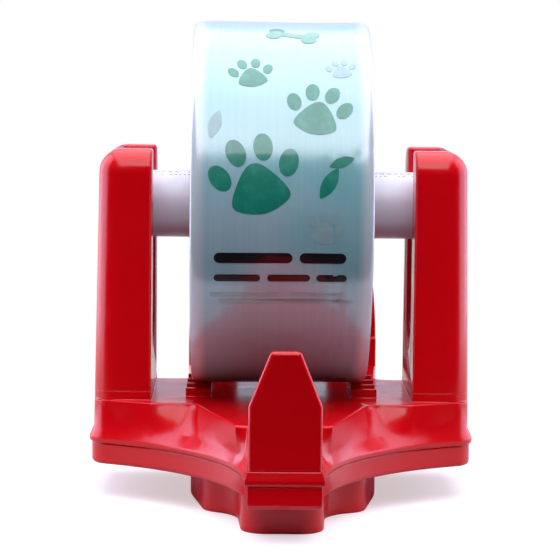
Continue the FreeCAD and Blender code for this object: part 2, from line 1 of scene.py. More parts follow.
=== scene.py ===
"""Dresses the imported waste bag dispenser: red mouldings, a white pipe and a wound roll of printed bags.

Fields that end in _mm are millimetres. Meshes are in metres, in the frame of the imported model:
X to the right along the pipe, Y from the front tongue to the wall, Z up from the underside of the foot.
"""

import logging
import math
import random
from collections.abc import Mapping, Sequence
from dataclasses import dataclass, field
from enum import Enum

import bmesh
import bpy
import numpy as np
from mathutils import Matrix, Vector, geometry, noise
from mathutils.bvhtree import BVHTree
from mathutils.interpolate import poly_3d_calc


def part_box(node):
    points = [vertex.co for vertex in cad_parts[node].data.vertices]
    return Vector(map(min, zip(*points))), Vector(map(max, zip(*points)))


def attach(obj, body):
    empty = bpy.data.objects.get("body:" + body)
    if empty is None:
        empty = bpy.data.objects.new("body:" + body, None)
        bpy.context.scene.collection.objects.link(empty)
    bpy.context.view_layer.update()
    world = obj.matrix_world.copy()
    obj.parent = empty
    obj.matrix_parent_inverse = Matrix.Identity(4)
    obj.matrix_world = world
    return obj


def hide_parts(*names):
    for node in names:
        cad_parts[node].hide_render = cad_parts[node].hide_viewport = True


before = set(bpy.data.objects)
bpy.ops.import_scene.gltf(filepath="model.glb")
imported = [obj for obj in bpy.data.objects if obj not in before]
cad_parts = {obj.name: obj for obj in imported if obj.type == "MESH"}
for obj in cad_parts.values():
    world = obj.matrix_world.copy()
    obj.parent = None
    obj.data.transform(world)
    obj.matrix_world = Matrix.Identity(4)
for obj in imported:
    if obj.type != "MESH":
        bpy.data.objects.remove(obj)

MM = 0.001
IMAGE_PIXELS = 560
SENSOR_MM = 36.0
MERGE_MM = 0.002
FLAT_ANGLE = math.radians(0.4)
WHITE = (1.0, 1.0, 1.0, 1.0)
# Most of what a noise texture gives lies between these two values.
NOISE_LOW = 0.3
NOISE_HIGH = 0.7
# What the filling of printed shapes asks for: the triangles inside the outlines, and when two points are one.
FILL_INSIDE = 1
FILL_MERGE_MM = 1e-4
# How far a place in a grid stays short of its last column.
JUST_INSIDE = 1e-6

log = logging.getLogger("dispenser")

Point2 = tuple[float, float]
Outline = list[Point2]


class Body(Enum):
    """The bodies that pieces ride on."""

    HOUSING = "housing"
    TUBE = "tube"
    ROLL = "roll"


class Slot(Enum):
    """The material slots."""

    RED = "red_moulding"
    PIPE = "white_pipe"
    BOARD = "core_board"
    FILM = "bag_film"
    STEEL = "screw_steel"


class Motif(Enum):
    """The printed shapes on the bags."""

    PAW = "paw"
    BONE = "bone"
    LEAF = "leaf"
    BAR = "bar"


class Ink(Enum):
    """The inks of the print."""

    GREEN = "green"
    BLACK = "black"
    SHOW_THROUGH = "show_through"


def linear(hex_colour: str) -> tuple[float, float, float, float]:
    """Turns an sRGB colour into linear light.

    Args:
        hex_colour: The colour as #RRGGBB.

    Returns:
        Red, green, blue and an alpha of 1.
    """
    parts = [int(hex_colour[i : i + 2], 16) / 255 for i in (1, 3, 5)]
    light = [p / 12.92 if p <= 0.04045 else ((p + 0.055) / 1.055) ** 2.4 for p in parts]
    return (*light, 1.0)


def per_metre(size_mm: float) -> float:
    """The texture scale at which one feature of a pattern is size_mm wide."""
    return 1.0 / (size_mm * MM)


def smooth(low: float, high: float, value: float) -> float:
    """A soft step from 0 at low to 1 at high."""
    share = min(1.0, max(0.0, (value - low) / (high - low)))
    return share * share * (3 - 2 * share)


def add_node(
    tree: bpy.types.NodeTree,
    kind: str,
    inputs: Mapping[str | int, object] | None = None,
    **settings: object,
) -> bpy.types.Node:
    """Adds a node, with its settings, its values and its links.

    Args:
        tree: The node tree that gets the node.
        kind: Blender's name of the node type.
        inputs: A value or another node's output for each input, by name or number.
        **settings: The node's own properties.

    Returns:
        The new node.
    """
    node = tree.nodes.new(kind)
    for name, value in settings.items():
        setattr(node, name, value)
    for name, value in (inputs or {}).items():
        if isinstance(value, bpy.types.NodeSocket):
            tree.links.new(value, node.inputs[name])
        else:
            node.inputs[name].default_value = value
    return node


def empty_material(name: str) -> tuple[bpy.types.Material, bpy.types.NodeTree]:
    """Makes a node material with no nodes in it.

    Args:
        name: The material's name.

    Returns:
        The material and its node tree.
    """
    material = bpy.data.materials.new(name)
    material.use_nodes = True
    material.node_tree.nodes.clear()
    return material, material.node_tree


def new_object(name: str, mesh: bpy.types.Mesh, material: bpy.types.Material) -> bpy.types.Object:
    """Puts a mesh in the scene, at the origin.

    Args:
        name: The piece's name.
        mesh: Its mesh, with its place in its vertices.
        material: Its one material.

    Returns:
        The new object.
    """
    mesh.materials.clear()
    mesh.materials.append(material)
    piece = bpy.data.objects.new(name, mesh)
    bpy.context.scene.collection.objects.link(piece)
    return piece


def plain_mesh(host: bpy.types.Object, name: str) -> bpy.types.Mesh:
    """Turns an object with live modifiers into a plain mesh and removes the object.

    Args:
        host: The object with its modifiers.
        name: The name of the mesh.

    Returns:
        The finished mesh.
    """
    depsgraph = bpy.context.evaluated_depsgraph_get()
    mesh = bpy.data.meshes.new_from_object(host.evaluated_get(depsgraph))
    mesh.name = name
    old = host.data
    bpy.data.objects.remove(host)
    bpy.data.meshes.remove(old)
    return mesh


def settle(piece: bpy.types.Object, body: Body, slot: Slot | None, *nodes: str) -> bpy.types.Object:
    """Ties a finished piece to its body and reports it.

    Args:
        piece: The finished piece.
        body: The body that it moves with.
        slot: The material slot that it belongs to, if it has one. Not used.
        *nodes: The nodes that it stands for.

    Returns:
        The same piece.
    """
    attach(piece, body.value)
    if nodes:
        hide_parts(*nodes)
    log.info("%s: %d faces, rides on %s", piece.name, len(piece.data.polygons), body.value)
    return piece


@dataclass(frozen=True)
class MouldedAbs:
    """ABS from a polished mould: saturated, glossy, with a faint orange peel, and a painted highlight of
    lighter red along its thin edges.
    """

    name: str = "moulded_gloss_abs"
    colour: str = "#DE0412"
    deep_colour: str = "#D2030E"
    # Painted highlight: a lighter red that the material lays along the rounded edges.
    edge_highlight_colour: str = "#EA2A36"
    ior: float = 1.46
    smoothest: float = 0.15
    roughest: float = 0.25
    flow_mm: float = 70.0
    haze_mm: float = 14.0
    peel_mm: float = 3.2
    peel_depth_mm: float = 0.002
    edge_mm: float = 0.7
    flat_side: float = 0.995
    bent_side: float = 0.80
    edge_highlight_share: float = 0.45

    def material(self) -> bpy.types.Material:
        """Builds the material: colour that flows a little, uneven gloss, peel, softened edges and a painted
        highlight along them.
        """
        material, tree = empty_material(self.name)
        place = add_node(tree, "ShaderNodeTexCoord").outputs["Object"]
        flow = add_node(tree, "ShaderNodeTexNoise", {"Vector": place, "Scale": per_metre(self.flow_mm)})
        body = add_node(
            tree, "ShaderNodeMix",
            {"Factor": flow.outputs["Fac"], 6: linear(self.colour), 7: linear(self.deep_colour)},
            data_type="RGBA",
        )
        round_edge = add_node(tree, "ShaderNodeBevel", {"Radius": self.edge_mm * MM}, samples=6)
        face = add_node(tree, "ShaderNodeNewGeometry")
        bend = add_node(
            tree, "ShaderNodeVectorMath",
            {0: round_edge.outputs["Normal"], 1: face.outputs["Normal"]},
            operation="DOT_PRODUCT",
        )
        # Painted highlight: where the rounded edge's normal leans away from the face's, the red is mixed
        # towards a lighter one.
        edge = add_node(
            tree, "ShaderNodeMapRange",
            {
                "Value": bend.outputs["Value"],
                1: self.flat_side,
                2: self.bent_side,
                3: 0.0,
                4: self.edge_highlight_share,
            },
        )
        colour = add_node(
            tree, "ShaderNodeMix",
            {"Factor": edge.outputs["Result"], 6: body.outputs[2], 7: linear(self.edge_highlight_colour)},
            data_type="RGBA",
        )
        haze = add_node(
            tree, "ShaderNodeTexNoise",
            {"Vector": place, "Scale": per_metre(self.haze_mm), "Detail": 4.0},
        )
        gloss = add_node(
            tree, "ShaderNodeMapRange",
            {"Value": haze.outputs["Fac"], 1: NOISE_LOW, 2: NOISE_HIGH, 3: self.smoothest, 4: self.roughest},
        )
        peel = add_node(
            tree, "ShaderNodeTexNoise",
            {"Vector": place, "Scale": per_metre(self.peel_mm), "Detail": 1.0},
        )
        skin = add_node(
            tree, "ShaderNodeBump",
            {
                "Strength": 1.0,
                "Distance": self.peel_depth_mm * MM,
                "Height": peel.outputs["Fac"],
                "Normal": round_edge.outputs["Normal"],
            },
        )
        surface = add_node(
            tree, "ShaderNodeBsdfPrincipled",
            {
                "Base Color": colour.outputs[2],
                "Roughness": gloss.outputs["Result"],
                "IOR": self.ior,
                "Normal": skin.outputs["Normal"],
            },
        )
        add_node(tree, "ShaderNodeOutputMaterial", {"Surface": surface.outputs["BSDF"]})
        return material


@dataclass(frozen=True)
class ExtrudedPvc:
    """PVC pipe as it leaves the die: cool white, satin, with fine draw lines along its length."""

    name: str = "extruded_white_pvc"
    colour: str = "#E4E6F0"
    scuff_colour: str = "#CFCFDA"
    ior: float = 1.53
    smoothest: float = 0.28
    roughest: float = 0.42
    # Real draw lines are finer than this. They are drawn coarser so that they show.
    line_mm: float = 0.9
    line_stretch: float = 0.02
    line_depth_mm: float = 0.006
    scuff_mm: float = 22.0
    scuff_from: float = 0.5
    scuff_full: float = 0.75
    scuff_share: float = 0.6

    def material(self) -> bpy.types.Material:
        """Builds the material: draw lines stretched along X, and soft scuffs."""
        material, tree = empty_material(self.name)
        place = add_node(tree, "ShaderNodeTexCoord").outputs["Object"]
        drawn = add_node(tree, "ShaderNodeMapping", {"Vector": place, "Scale": (self.line_stretch, 1.0, 1.0)})
        lines = add_node(
            tree, "ShaderNodeTexNoise",
            {"Vector": drawn.outputs["Vector"], "Scale": per_metre(self.line_mm), "Detail": 2.0},
        )
        scuff = add_node(
            tree, "ShaderNodeTexNoise",
            {"Vector": place, "Scale": per_metre(self.scuff_mm), "Detail": 5.0},
        )
        worn = add_node(
            tree, "ShaderNodeMapRange",
            {
                "Value": scuff.outputs["Fac"],
                1: self.scuff_from,
                2: self.scuff_full,
                3: 0.0,
                4: self.scuff_share,
            },
        )
        colour = add_node(
            tree, "ShaderNodeMix",
            {"Factor": worn.outputs["Result"], 6: linear(self.colour), 7: linear(self.scuff_colour)},
            data_type="RGBA",
        )
        gloss = add_node(
            tree, "ShaderNodeMapRange",
            {"Value": scuff.outputs["Fac"], 1: NOISE_LOW, 2: NOISE_HIGH, 3: self.smoothest, 4: self.roughest},
        )
        skin = add_node(
            tree, "ShaderNodeBump",
            {"Strength": 1.0, "Distance": self.line_depth_mm * MM, "Height": lines.outputs["Fac"]},
        )
        surface = add_node(
            tree, "ShaderNodeBsdfPrincipled",
            {
                "Base Color": colour.outputs[2],
                "Roughness": gloss.outputs["Result"],
                "IOR": self.ior,
                "Normal": skin.outputs["Normal"],
            },
        )
        add_node(tree, "ShaderNodeOutputMaterial", {"Surface": surface.outputs["BSDF"]})
        return material


@dataclass(frozen=True)
class WoundFilm:
    """Thin polyethylene bags wound tight: milky and cool, glossy, with winding lines round the roll and a
    painted highlight along both rims.
    """

    name: str = "wound_polyethylene_film"
    colour: str = "#86BCC6"
    deep_colour: str = "#7AB8BC"
    pale_colour: str = "#A2C2CE"
    # Painted highlight: the film is drawn paler over its last millimetres at each rim.
    rim_highlight_colour: str = "#C9D6DE"
    rim_from_mm: float = 10.0
    rim_to_mm: float = 3.0
    ior: float = 1.5
    roughness: float = 0.30
    coat_ior: float = 2.0
    coat_roughness: float = 0.20
    scatter: float = 0.15
    scatter_mm: float = 3.0
    patch_mm: float = 85.0
    deep_at: float = 0.35
    middle_at: float = 0.5
    pale_at: float = 0.68
    # The layers of film are far thinner than this. Their lines are drawn coarser so that they show.
    line_mm: float = 2.2
    line_stretch: float = 0.015
    line_from: float = 0.35
    line_to: float = 0.65
    line_darkest: float = 0.965
    line_lightest: float = 1.02
    crinkle_mm: float = 9.0
    crinkle_depth_mm: float = 0.10

    def material(self) -> bpy.types.Material:
        """Builds the material on the roll's own map: across is the width, along is the way it winds."""
        material, tree = empty_material(self.name)
        coordinates = add_node(tree, "ShaderNodeTexCoord")
        place = coordinates.outputs["Object"]
        patch = add_node(tree, "ShaderNodeTexNoise", {"Vector": place, "Scale": per_metre(self.patch_mm)})
        tone = add_node(tree, "ShaderNodeValToRGB", {"Fac": patch.outputs["Fac"]})
        ramp = tone.color_ramp
        ramp.elements[0].position = self.deep_at
        ramp.elements[0].color = linear(self.deep_colour)
        ramp.elements[1].position = self.pale_at
        ramp.elements[1].color = linear(self.pale_colour)
        middle = ramp.elements.new(self.middle_at)
        middle.color = linear(self.colour)
        wound = add_node(
            tree, "ShaderNodeMapping",
            {"Vector": coordinates.outputs["UV"], "Scale": (self.line_stretch, 1.0, 1.0)},
        )
        lines = add_node(
            tree, "ShaderNodeTexNoise",
            {"Vector": wound.outputs["Vector"], "Scale": per_metre(self.line_mm), "Detail": 3.0},
        )
        shade = add_node(
            tree, "ShaderNodeMapRange",
            {
                "Value": lines.outputs["Fac"],
                1: self.line_from,
                2: self.line_to,
                3: self.line_darkest,
                4: self.line_lightest,
            },
        )
        low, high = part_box("bag_roll")
        half = (high.x - low.x) / 2
        parts = add_node(tree, "ShaderNodeSeparateXYZ", {"Vector": place})
        across = add_node(
            tree, "ShaderNodeMath",
            {0: parts.outputs["X"], 1: (low.x + high.x) / 2},
            operation="SUBTRACT",
        )
        outer = add_node(tree, "ShaderNodeMath", {0: across.outputs["Value"]}, operation="ABSOLUTE")
        # Painted highlight: the colour turns paler from rim_from_mm to rim_to_mm short of each rim.
        at_rim = add_node(
            tree, "ShaderNodeMapRange",
            {
                "Value": outer.outputs["Value"],
                1: half - self.rim_from_mm * MM,
                2: half - self.rim_to_mm * MM,
                3: 0.0,
                4: 1.0,
            },
            interpolation_type="SMOOTHSTEP",
        )
        rim_highlighted = add_node(
            tree, "ShaderNodeMix",
            {"Factor": at_rim.outputs["Result"], 6: tone.outputs["Color"], 7: linear(self.rim_highlight_colour)},
            data_type="RGBA",
        )
        colour = add_node(
            tree, "ShaderNodeVectorMath",
            {0: rim_highlighted.outputs[2], "Scale": shade.outputs["Result"]},
            operation="SCALE",
        )
        crinkle = add_node(
            tree, "ShaderNodeTexNoise",
            {"Vector": place, "Scale": per_metre(self.crinkle_mm), "Detail": 3.0, "Distortion": 0.8},
        )
        skin = add_node(
            tree, "ShaderNodeBump",
            {"Strength": 0.6, "Distance": self.crinkle_depth_mm * MM, "Height": crinkle.outputs["Fac"]},
        )
        surface = add_node(
            tree, "ShaderNodeBsdfPrincipled",
            {
                "Base Color": colour.outputs["Vector"],
                "Roughness": self.roughness,
                "IOR": self.ior,
                "Subsurface Weight": self.scatter,
                "Subsurface Radius": (1.0, 1.0, 1.0),
                "Subsurface Scale": self.scatter_mm * MM,
                "Coat Weight": 1.0,
                "Coat IOR": self.coat_ior,
                "Coat Roughness": self.coat_roughness,
                "Normal": skin.outputs["Normal"],
                "Coat Normal": skin.outputs["Normal"],
            },
        )
        add_node(tree, "ShaderNodeOutputMaterial", {"Surface": surface.outputs["BSDF"]})
        return material


@dataclass(frozen=True)
class FlexoInk:
    """Flexographic ink on film: thin and a little uneven, with the film's gloss over it."""

    name: str
    colour: str
    thin_colour: str
    ior: float = 1.5
    roughness: float = 0.32
    coat_roughness: float = 0.08
    mottle_mm: float = 7.0
    thin_from: float = 0.45
    thin_full: float = 0.75
    thin_share: float = 0.8

    def material(self) -> bpy.types.Material:
        """Builds the material: a mottle between full and thin ink."""
        material, tree = empty_material(self.name)
        place = add_node(tree, "ShaderNodeTexCoord").outputs["Object"]
        mottle = add_node(
            tree, "ShaderNodeTexNoise",
            {"Vector": place, "Scale": per_metre(self.mottle_mm), "Detail": 3.0},
        )
        thin = add_node(
            tree, "ShaderNodeMapRange",
            {
                "Value": mottle.outputs["Fac"],
                1: self.thin_from,
                2: self.thin_full,
                3: 0.0,
                4: self.thin_share,
            },
        )
        colour = add_node(
            tree, "ShaderNodeMix",
            {"Factor": thin.outputs["Result"], 6: linear(self.colour), 7: linear(self.thin_colour)},
            data_type="RGBA",
        )
        surface = add_node(
            tree, "ShaderNodeBsdfPrincipled",
            {
                "Base Color": colour.outputs[2],
                "Roughness": self.roughness,
                "IOR": self.ior,
                "Coat Weight": 1.0,
                "Coat Roughness": self.coat_roughness,
            },
        )
        add_node(tree, "ShaderNodeOutputMaterial", {"Surface": surface.outputs["BSDF"]})
        return material


@dataclass(frozen=True)
class WoundBoard:
    """Grey-brown board wound in a spiral: matt, fibrous, with the layers showing at its ends."""

    name: str = "wound_core_board"
    colour: str = "#B79B78"
    dark_colour: str = "#8F7554"
    roughness: float = 0.85
    layer_mm: float = 0.7
    # Real fibres are finer than this. They are drawn coarser so that they show.
    fibre_mm: float = 0.8
    fibre_depth_mm: float = 0.04

    def material(self) -> bpy.types.Material:
        """Builds the material: rings of board round the pipe's axis, and fibres."""
        material, tree = empty_material(self.name)
        place = add_node(tree, "ShaderNodeTexCoord").outputs["Object"]
        centre = box_middle("roll_core")
        centred = add_node(tree, "ShaderNodeMapping", {"Vector": place, "Location": tuple(-centre)})
        rings = add_node(
            tree, "ShaderNodeTexWave",
            {
                "Vector": centred.outputs["Vector"],
                "Scale": per_metre(self.layer_mm) / math.tau,
                "Distortion": 0.6,
            },
            wave_type="RINGS", rings_direction="X",
        )
        colour = add_node(
            tree, "ShaderNodeMix",
            {"Factor": rings.outputs["Fac"], 6: linear(self.dark_colour), 7: linear(self.colour)},
            data_type="RGBA",
        )
        fibre = add_node(
            tree, "ShaderNodeTexNoise",
            {"Vector": place, "Scale": per_metre(self.fibre_mm), "Detail": 5.0},
        )
        skin = add_node(
            tree, "ShaderNodeBump",
            {"Strength": 0.7, "Distance": self.fibre_depth_mm * MM, "Height": fibre.outputs["Fac"]},
        )
        surface = add_node(
            tree, "ShaderNodeBsdfPrincipled",
            {
                "Base Color": colour.outputs[2],
                "Roughness": self.roughness,
                "Normal": skin.outputs["Normal"],
            },
        )
        add_node(tree, "ShaderNodeOutputMaterial", {"Surface": surface.outputs["BSDF"]})
        return material


@dataclass(frozen=True)
class ZincSteel:
    """Zinc plated steel: a bluish grey metal, dulled unevenly by handling."""

    name: str = "zinc_plated_steel"
    colour: str = "#C3C6CC"
    dull_colour: str = "#9EA0A2"
    smoothest: float = 0.25
    roughest: float = 0.5
    bloom_mm: float = 1.6

    def material(self) -> bpy.types.Material:
        """Builds the material: a bloom that changes colour and gloss together."""
        material, tree = empty_material(self.name)
        place = add_node(tree, "ShaderNodeTexCoord").outputs["Object"]
        bloom = add_node(
            tree, "ShaderNodeTexNoise",
            {"Vector": place, "Scale": per_metre(self.bloom_mm), "Detail": 3.0},
        )
        colour = add_node(
            tree, "ShaderNodeMix",
            {"Factor": bloom.outputs["Fac"], 6: linear(self.colour), 7: linear(self.dull_colour)},
            data_type="RGBA",
        )
        gloss = add_node(
            tree, "ShaderNodeMapRange",
            {"Value": bloom.outputs["Fac"], 1: NOISE_LOW, 2: NOISE_HIGH, 3: self.smoothest, 4: self.roughest},
        )
        surface = add_node(
            tree, "ShaderNodeBsdfPrincipled",
            {
                "Base Color": colour.outputs[2],
                "Metallic": 1.0,
                "Roughness": gloss.outputs["Result"],
            },
        )
        add_node(tree, "ShaderNodeOutputMaterial", {"Surface": surface.outputs["BSDF"]})
        return material


def box_middle(node: str) -> Vector:
    """The middle of a node's box, in metres."""
    low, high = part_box(node)
    return (low + high) / 2


@dataclass
class Moulding:
    """One rigid node of the frame, copied with its sharp edges rounded as a mould leaves them."""

    node: str
    body: Body
    slot: Slot
    edge_mm: float = 0.6
    crosswise_mm: float = 0.0
    crosswise_share: float = 0.8
    seam_edge_mm: float = 0.25
    seam_mm: float | None = None
    sharp_angle: float = math.radians(38)
    hollow_angle: float = math.radians(10)
    kept_angle: float = math.radians(4)
    same_side: float = 0.995
    true_side: float = 0.5
    rounded_side: float = 0.6
    corner_inset: float = 0.03
    stray_mm: float = 1.0
    segments: int = 3

    def merged(self) -> bpy.types.Mesh:
        """Copies the node's mesh with its triangles joined and its sharp edges weighted."""
        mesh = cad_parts[self.node].data.copy()
        mesh.name = f"{self.node}_merged"
        shape = bmesh.new()
        shape.from_mesh(mesh)
        bmesh.ops.remove_doubles(shape, verts=shape.verts, dist=MERGE_MM * MM)
        bmesh.ops.dissolve_limit(
            shape, angle_limit=FLAT_ANGLE, verts=shape.verts, edges=shape.edges, use_dissolve_boundaries=False
        )
        weights = shape.edges.layers.float.new("bevel_weight_edge")
        for edge in shape.edges:
            edge.smooth = True
            if edge.is_manifold and edge.calc_face_angle() > self.sharp_angle:
                edge[weights] = self.width_mm(edge) / self.widest_mm()
        for face in shape.faces:
            face.smooth = True
        shape.to_mesh(mesh)
        shape.free()
        if "custom_normal" in mesh.attributes:
            mesh.attributes.remove(mesh.attributes["custom_normal"])
        return mesh

    def widest_mm(self) -> float:
        """The width of the widest rounding on the piece."""
        return max(self.edge_mm, self.crosswise_mm)

    def width_mm(self, edge: bmesh.types.BMEdge) -> float:
        """How wide a sharp edge is rounded: less at a flush seam, more on a broad edge from front to back.

        Args:
            edge: The edge.

        Returns:
            The width in millimetres.
        """
        places = [vert.co for vert in edge.verts]
        if self.seam_mm is not None and all(abs(p.z - self.seam_mm * MM) < MERGE_MM * MM for p in places):
            return self.seam_edge_mm
        run = (places[1] - places[0]).normalized()
        if self.crosswise_mm and abs(run.y) > self.crosswise_share:
            return self.crosswise_mm
        return self.edge_mm

    def shade(self, mesh: bpy.types.Mesh) -> None:
        """Gives the copy's faces the normals of the true surface, and the rounded edges normals between them.

        Args:
            mesh: The copy, with its edges rounded.
        """
        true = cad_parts[self.node].data
        corners = [vert.co.copy() for vert in true.vertices]
        faces = [tuple(face.vertices) for face in true.polygons]
        first = [face.loop_start for face in true.polygons]
        normals = [corner.vector.copy() for corner in true.corner_normals]
        tree = BVHTree.FromPolygons(corners, faces)
        self.draw_back(mesh, tree)
        chosen = [Vector(corner.vector) for corner in mesh.corner_normals]
        at_vertex: dict[int, list[Vector]] = {}
        edge_faces = []
        for face in mesh.polygons:
            _, normal, _, _ = tree.find_nearest(face.center)
            if normal.angle(face.normal, 0.0) > self.kept_angle:
                edge_faces.append(face)
                continue
            for loop, index in zip(face.loop_indices, face.vertices):
                place = mesh.vertices[index].co.lerp(face.center, self.corner_inset)
                spot, _, hit, _ = tree.find_nearest(place)
                shares = poly_3d_calc([corners[i] for i in faces[hit]], spot)
                here = sum((normals[first[hit] + i] * share for i, share in enumerate(shares)), Vector())
                if here.dot(face.normal) > self.true_side:
                    chosen[loop] = here.normalized()
                at_vertex.setdefault(index, []).append(chosen[loop])
        for face in edge_faces:
            for loop, index in zip(face.loop_indices, face.vertices):
                beside = max(at_vertex.get(index, []), key=face.normal.dot, default=None)
                if beside is not None and beside.dot(face.normal) > self.rounded_side:
                    chosen[loop] = beside
        self.sweep(mesh, chosen)
        mesh.normals_split_custom_set(chosen)

    def draw_back(self, mesh: bpy.types.Mesh, tree: BVHTree) -> None:
        """Draws corners that the rounding has thrown off the surface back to their nearest neighbours.

        Args:
            mesh: The copy, with its edges rounded.
            tree: The true surface.
        """
        limit = self.stray_mm * MM
        stray = {vert.index for vert in mesh.vertices if tree.find_nearest(vert.co)[3] > limit}
        places = [vert.co.copy() for vert in mesh.vertices]
        pairs = [pair for edge in mesh.edges for pair in (tuple(edge.vertices), tuple(edge.vertices)[::-1])]
        while stray:
            ways = [(a, b) for a, b in pairs if a in stray and b not in stray]
            if not ways:
                break
            a, b = min(ways, key=lambda way: (places[way[0]] - places[way[1]]).length)
            mesh.vertices[a].co = mesh.vertices[b].co
            stray.remove(a)
        mesh.update()

    def sweep(self, mesh: bpy.types.Mesh, chosen: list[Vector]) -> None:
        """Shades the two sides of each shallow hollow that runs level as one sweep.

        Args:
            mesh: The copy, with its edges rounded.
            chosen: The normal of each corner of its faces, which is changed here.
        """
        beside: dict[tuple[int, int], list[bpy.types.MeshPolygon]] = {}
        around: dict[int, list[int]] = {}
        for face in mesh.polygons:
            for key in face.edge_keys:
                beside.setdefault(key, []).append(face)
            for loop, index in zip(face.loop_indices, face.vertices):
                around.setdefault(index, []).append(loop)
        before = [normal.copy() for normal in chosen]
        for ends, faces in beside.items():
            heights = [mesh.vertices[index].co.z for index in ends]
            if len(faces) != 2 or abs(heights[0] - heights[1]) > MERGE_MM * MM:
                continue
            bend = faces[0].normal.angle(faces[1].normal, 0.0)
            hollow = faces[0].normal.dot(faces[1].center - faces[0].center) > 0
            if not hollow or not self.hollow_angle < bend < self.sharp_angle:
                continue
            for index in ends:
                sides = [before[face.loop_indices[list(face.vertices).index(index)]] for face in faces]
                for loop in around[index]:
                    if max(before[loop].dot(side) for side in sides) > self.same_side:
                        chosen[loop] = (sides[0] + sides[1]).normalized()

    def build(self, material: bpy.types.Material) -> bpy.types.Object:
        """Rounds the copy's edges and puts it in place of the node.

        Args:
            material: The finish of the piece.

        Returns:
            The finished piece.
        """
        host = new_object(f"{self.node}_host", self.merged(), material)
        rounding = host.modifiers.new("rounded_edges", "BEVEL")
        rounding.limit_method = "WEIGHT"
        rounding.width = self.widest_mm() * MM
        rounding.segments = self.segments
        rounding.use_clamp_overlap = False
        rounding.miter_outer = "MITER_ARC"
        mesh = plain_mesh(host, f"{self.node}_finished")
        self.shade(mesh)
        return settle(new_object(mesh.name, mesh, material), self.body, self.slot, self.node)


@dataclass
class Housing:
    """The red mouldings that stand still: base, posts, tongue and wall plate."""

    seam_nodes: tuple[str, ...] = ("left_post", "right_post", "base_shell")
    edges_mm: Mapping[str, float] = field(
        default_factory=lambda: {
            "base_shell": 0.6,
            "base_tray": 0.6,
            "pedestal_foot": 1.0,
            "left_post": 1.6,
            "right_post": 1.6,
            "separator_tongue": 0.9,
            "back_plate": 1.0,
        }
    )
    crosswise_mm: Mapping[str, float] = field(default_factory=lambda: {"separator_tongue": 2.0})

    def build(self, material: bpy.types.Material) -> list[bpy.types.Object]:
        """Builds each red moulding.

        Args:
            material: The finish that they share.

        Returns:
            The finished pieces.
        """
        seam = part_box("left_post")[0].z / MM
        pieces = []
        for node, edge in self.edges_mm.items():
            moulding = Moulding(node, Body.HOUSING, Slot.RED, edge, self.crosswise_mm.get(node, 0.0))
            if node in self.seam_nodes:
                moulding.seam_mm = seam
            pieces.append(moulding.build(material))
        return pieces


@dataclass
class NodeGroup:
    """A Geometry Nodes tree with named inputs, and the modifier values that go into them."""

    name: str
    sizes: Mapping[str, float]
    tree: bpy.types.NodeTree = field(init=False)
    given: bpy.types.Node = field(init=False)

    def __post_init__(self) -> None:
        """Makes the empty tree with its inputs."""
        self.tree = bpy.data.node_groups.new(self.name, "GeometryNodeTree")
        face = self.tree.interface
        face.new_socket("Geometry", in_out="INPUT", socket_type="NodeSocketGeometry")
        for label in self.sizes:
            face.new_socket(label, in_out="INPUT", socket_type="NodeSocketFloat")
        face.new_socket("Material", in_out="INPUT", socket_type="NodeSocketMaterial")
        face.new_socket("Geometry", in_out="OUTPUT", socket_type="NodeSocketGeometry")
        self.given = self.tree.nodes.new("NodeGroupInput")

    def add(
        self, kind: str, inputs: Mapping[str | int, object] | None = None, **settings: object
    ) -> bpy.types.Node:
        """Adds a node to the tree."""
        return add_node(self.tree, kind, inputs, **settings)

    def size(self, label: str) -> bpy.types.NodeSocket:
        """The tree's input of that name."""
        return self.given.outputs[label]

    def spots(self) -> bpy.types.NodeSocket:
        """The points at each Pitch along the line that the tree starts from."""
        line = self.add("GeometryNodeMeshToCurve", {"Mesh": self.size("Geometry")})
        along = {"Curve": line.outputs["Curve"], "Length": self.size("Pitch")}
        return self.add("GeometryNodeResampleCurve", along, mode="LENGTH").outputs["Curve"]

    def finish(self, shape: bpy.types.NodeSocket) -> None:
        """Ends the tree: instances become real and take the material.

        Args:
            shape: The geometry that the tree has made.
        """
        real = self.add("GeometryNodeRealizeInstances", {"Geometry": shape})
        dressed = self.add(
            "GeometryNodeSetMaterial",
            {"Geometry": real.outputs["Geometry"], "Material": self.size("Material")},
        )
        self.add("NodeGroupOutput", {"Geometry": dressed.outputs["Geometry"]})

    def grow(self, seed_mesh: bpy.types.Mesh, material: bpy.types.Material) -> bpy.types.Mesh:
        """Runs the tree on a mesh.

        Args:
            seed_mesh: The points or lines that the tree starts from.
            material: The finish of what it makes.

        Returns:
            A plain mesh.
        """
        host = new_object(f"{self.name}_host", seed_mesh, material)
        modifier = host.modifiers.new(self.name, "NODES")
        modifier.node_group = self.tree
        values = {**self.sizes, "Material": material}
        for socket in self.tree.interface.items_tree:
            if socket.in_out == "INPUT" and socket.name in values:
                modifier[socket.identifier] = values[socket.name]
        return plain_mesh(host, self.name)


def points_mesh(name: str, points: Sequence[Vector], joined: bool = False) -> bpy.types.Mesh:
    """A mesh of bare points, or of one line through them.

    Args:
        name: The mesh's name.
        points: The points, in metres.
        joined: Whether each point is joined to the next.

    Returns:
        The mesh.
    """
    mesh = bpy.data.meshes.new(name)
    edges = [(i, i + 1) for i in range(len(points) - 1)] if joined else []
    mesh.from_pydata([tuple(p) for p in points], edges, [])
    return mesh


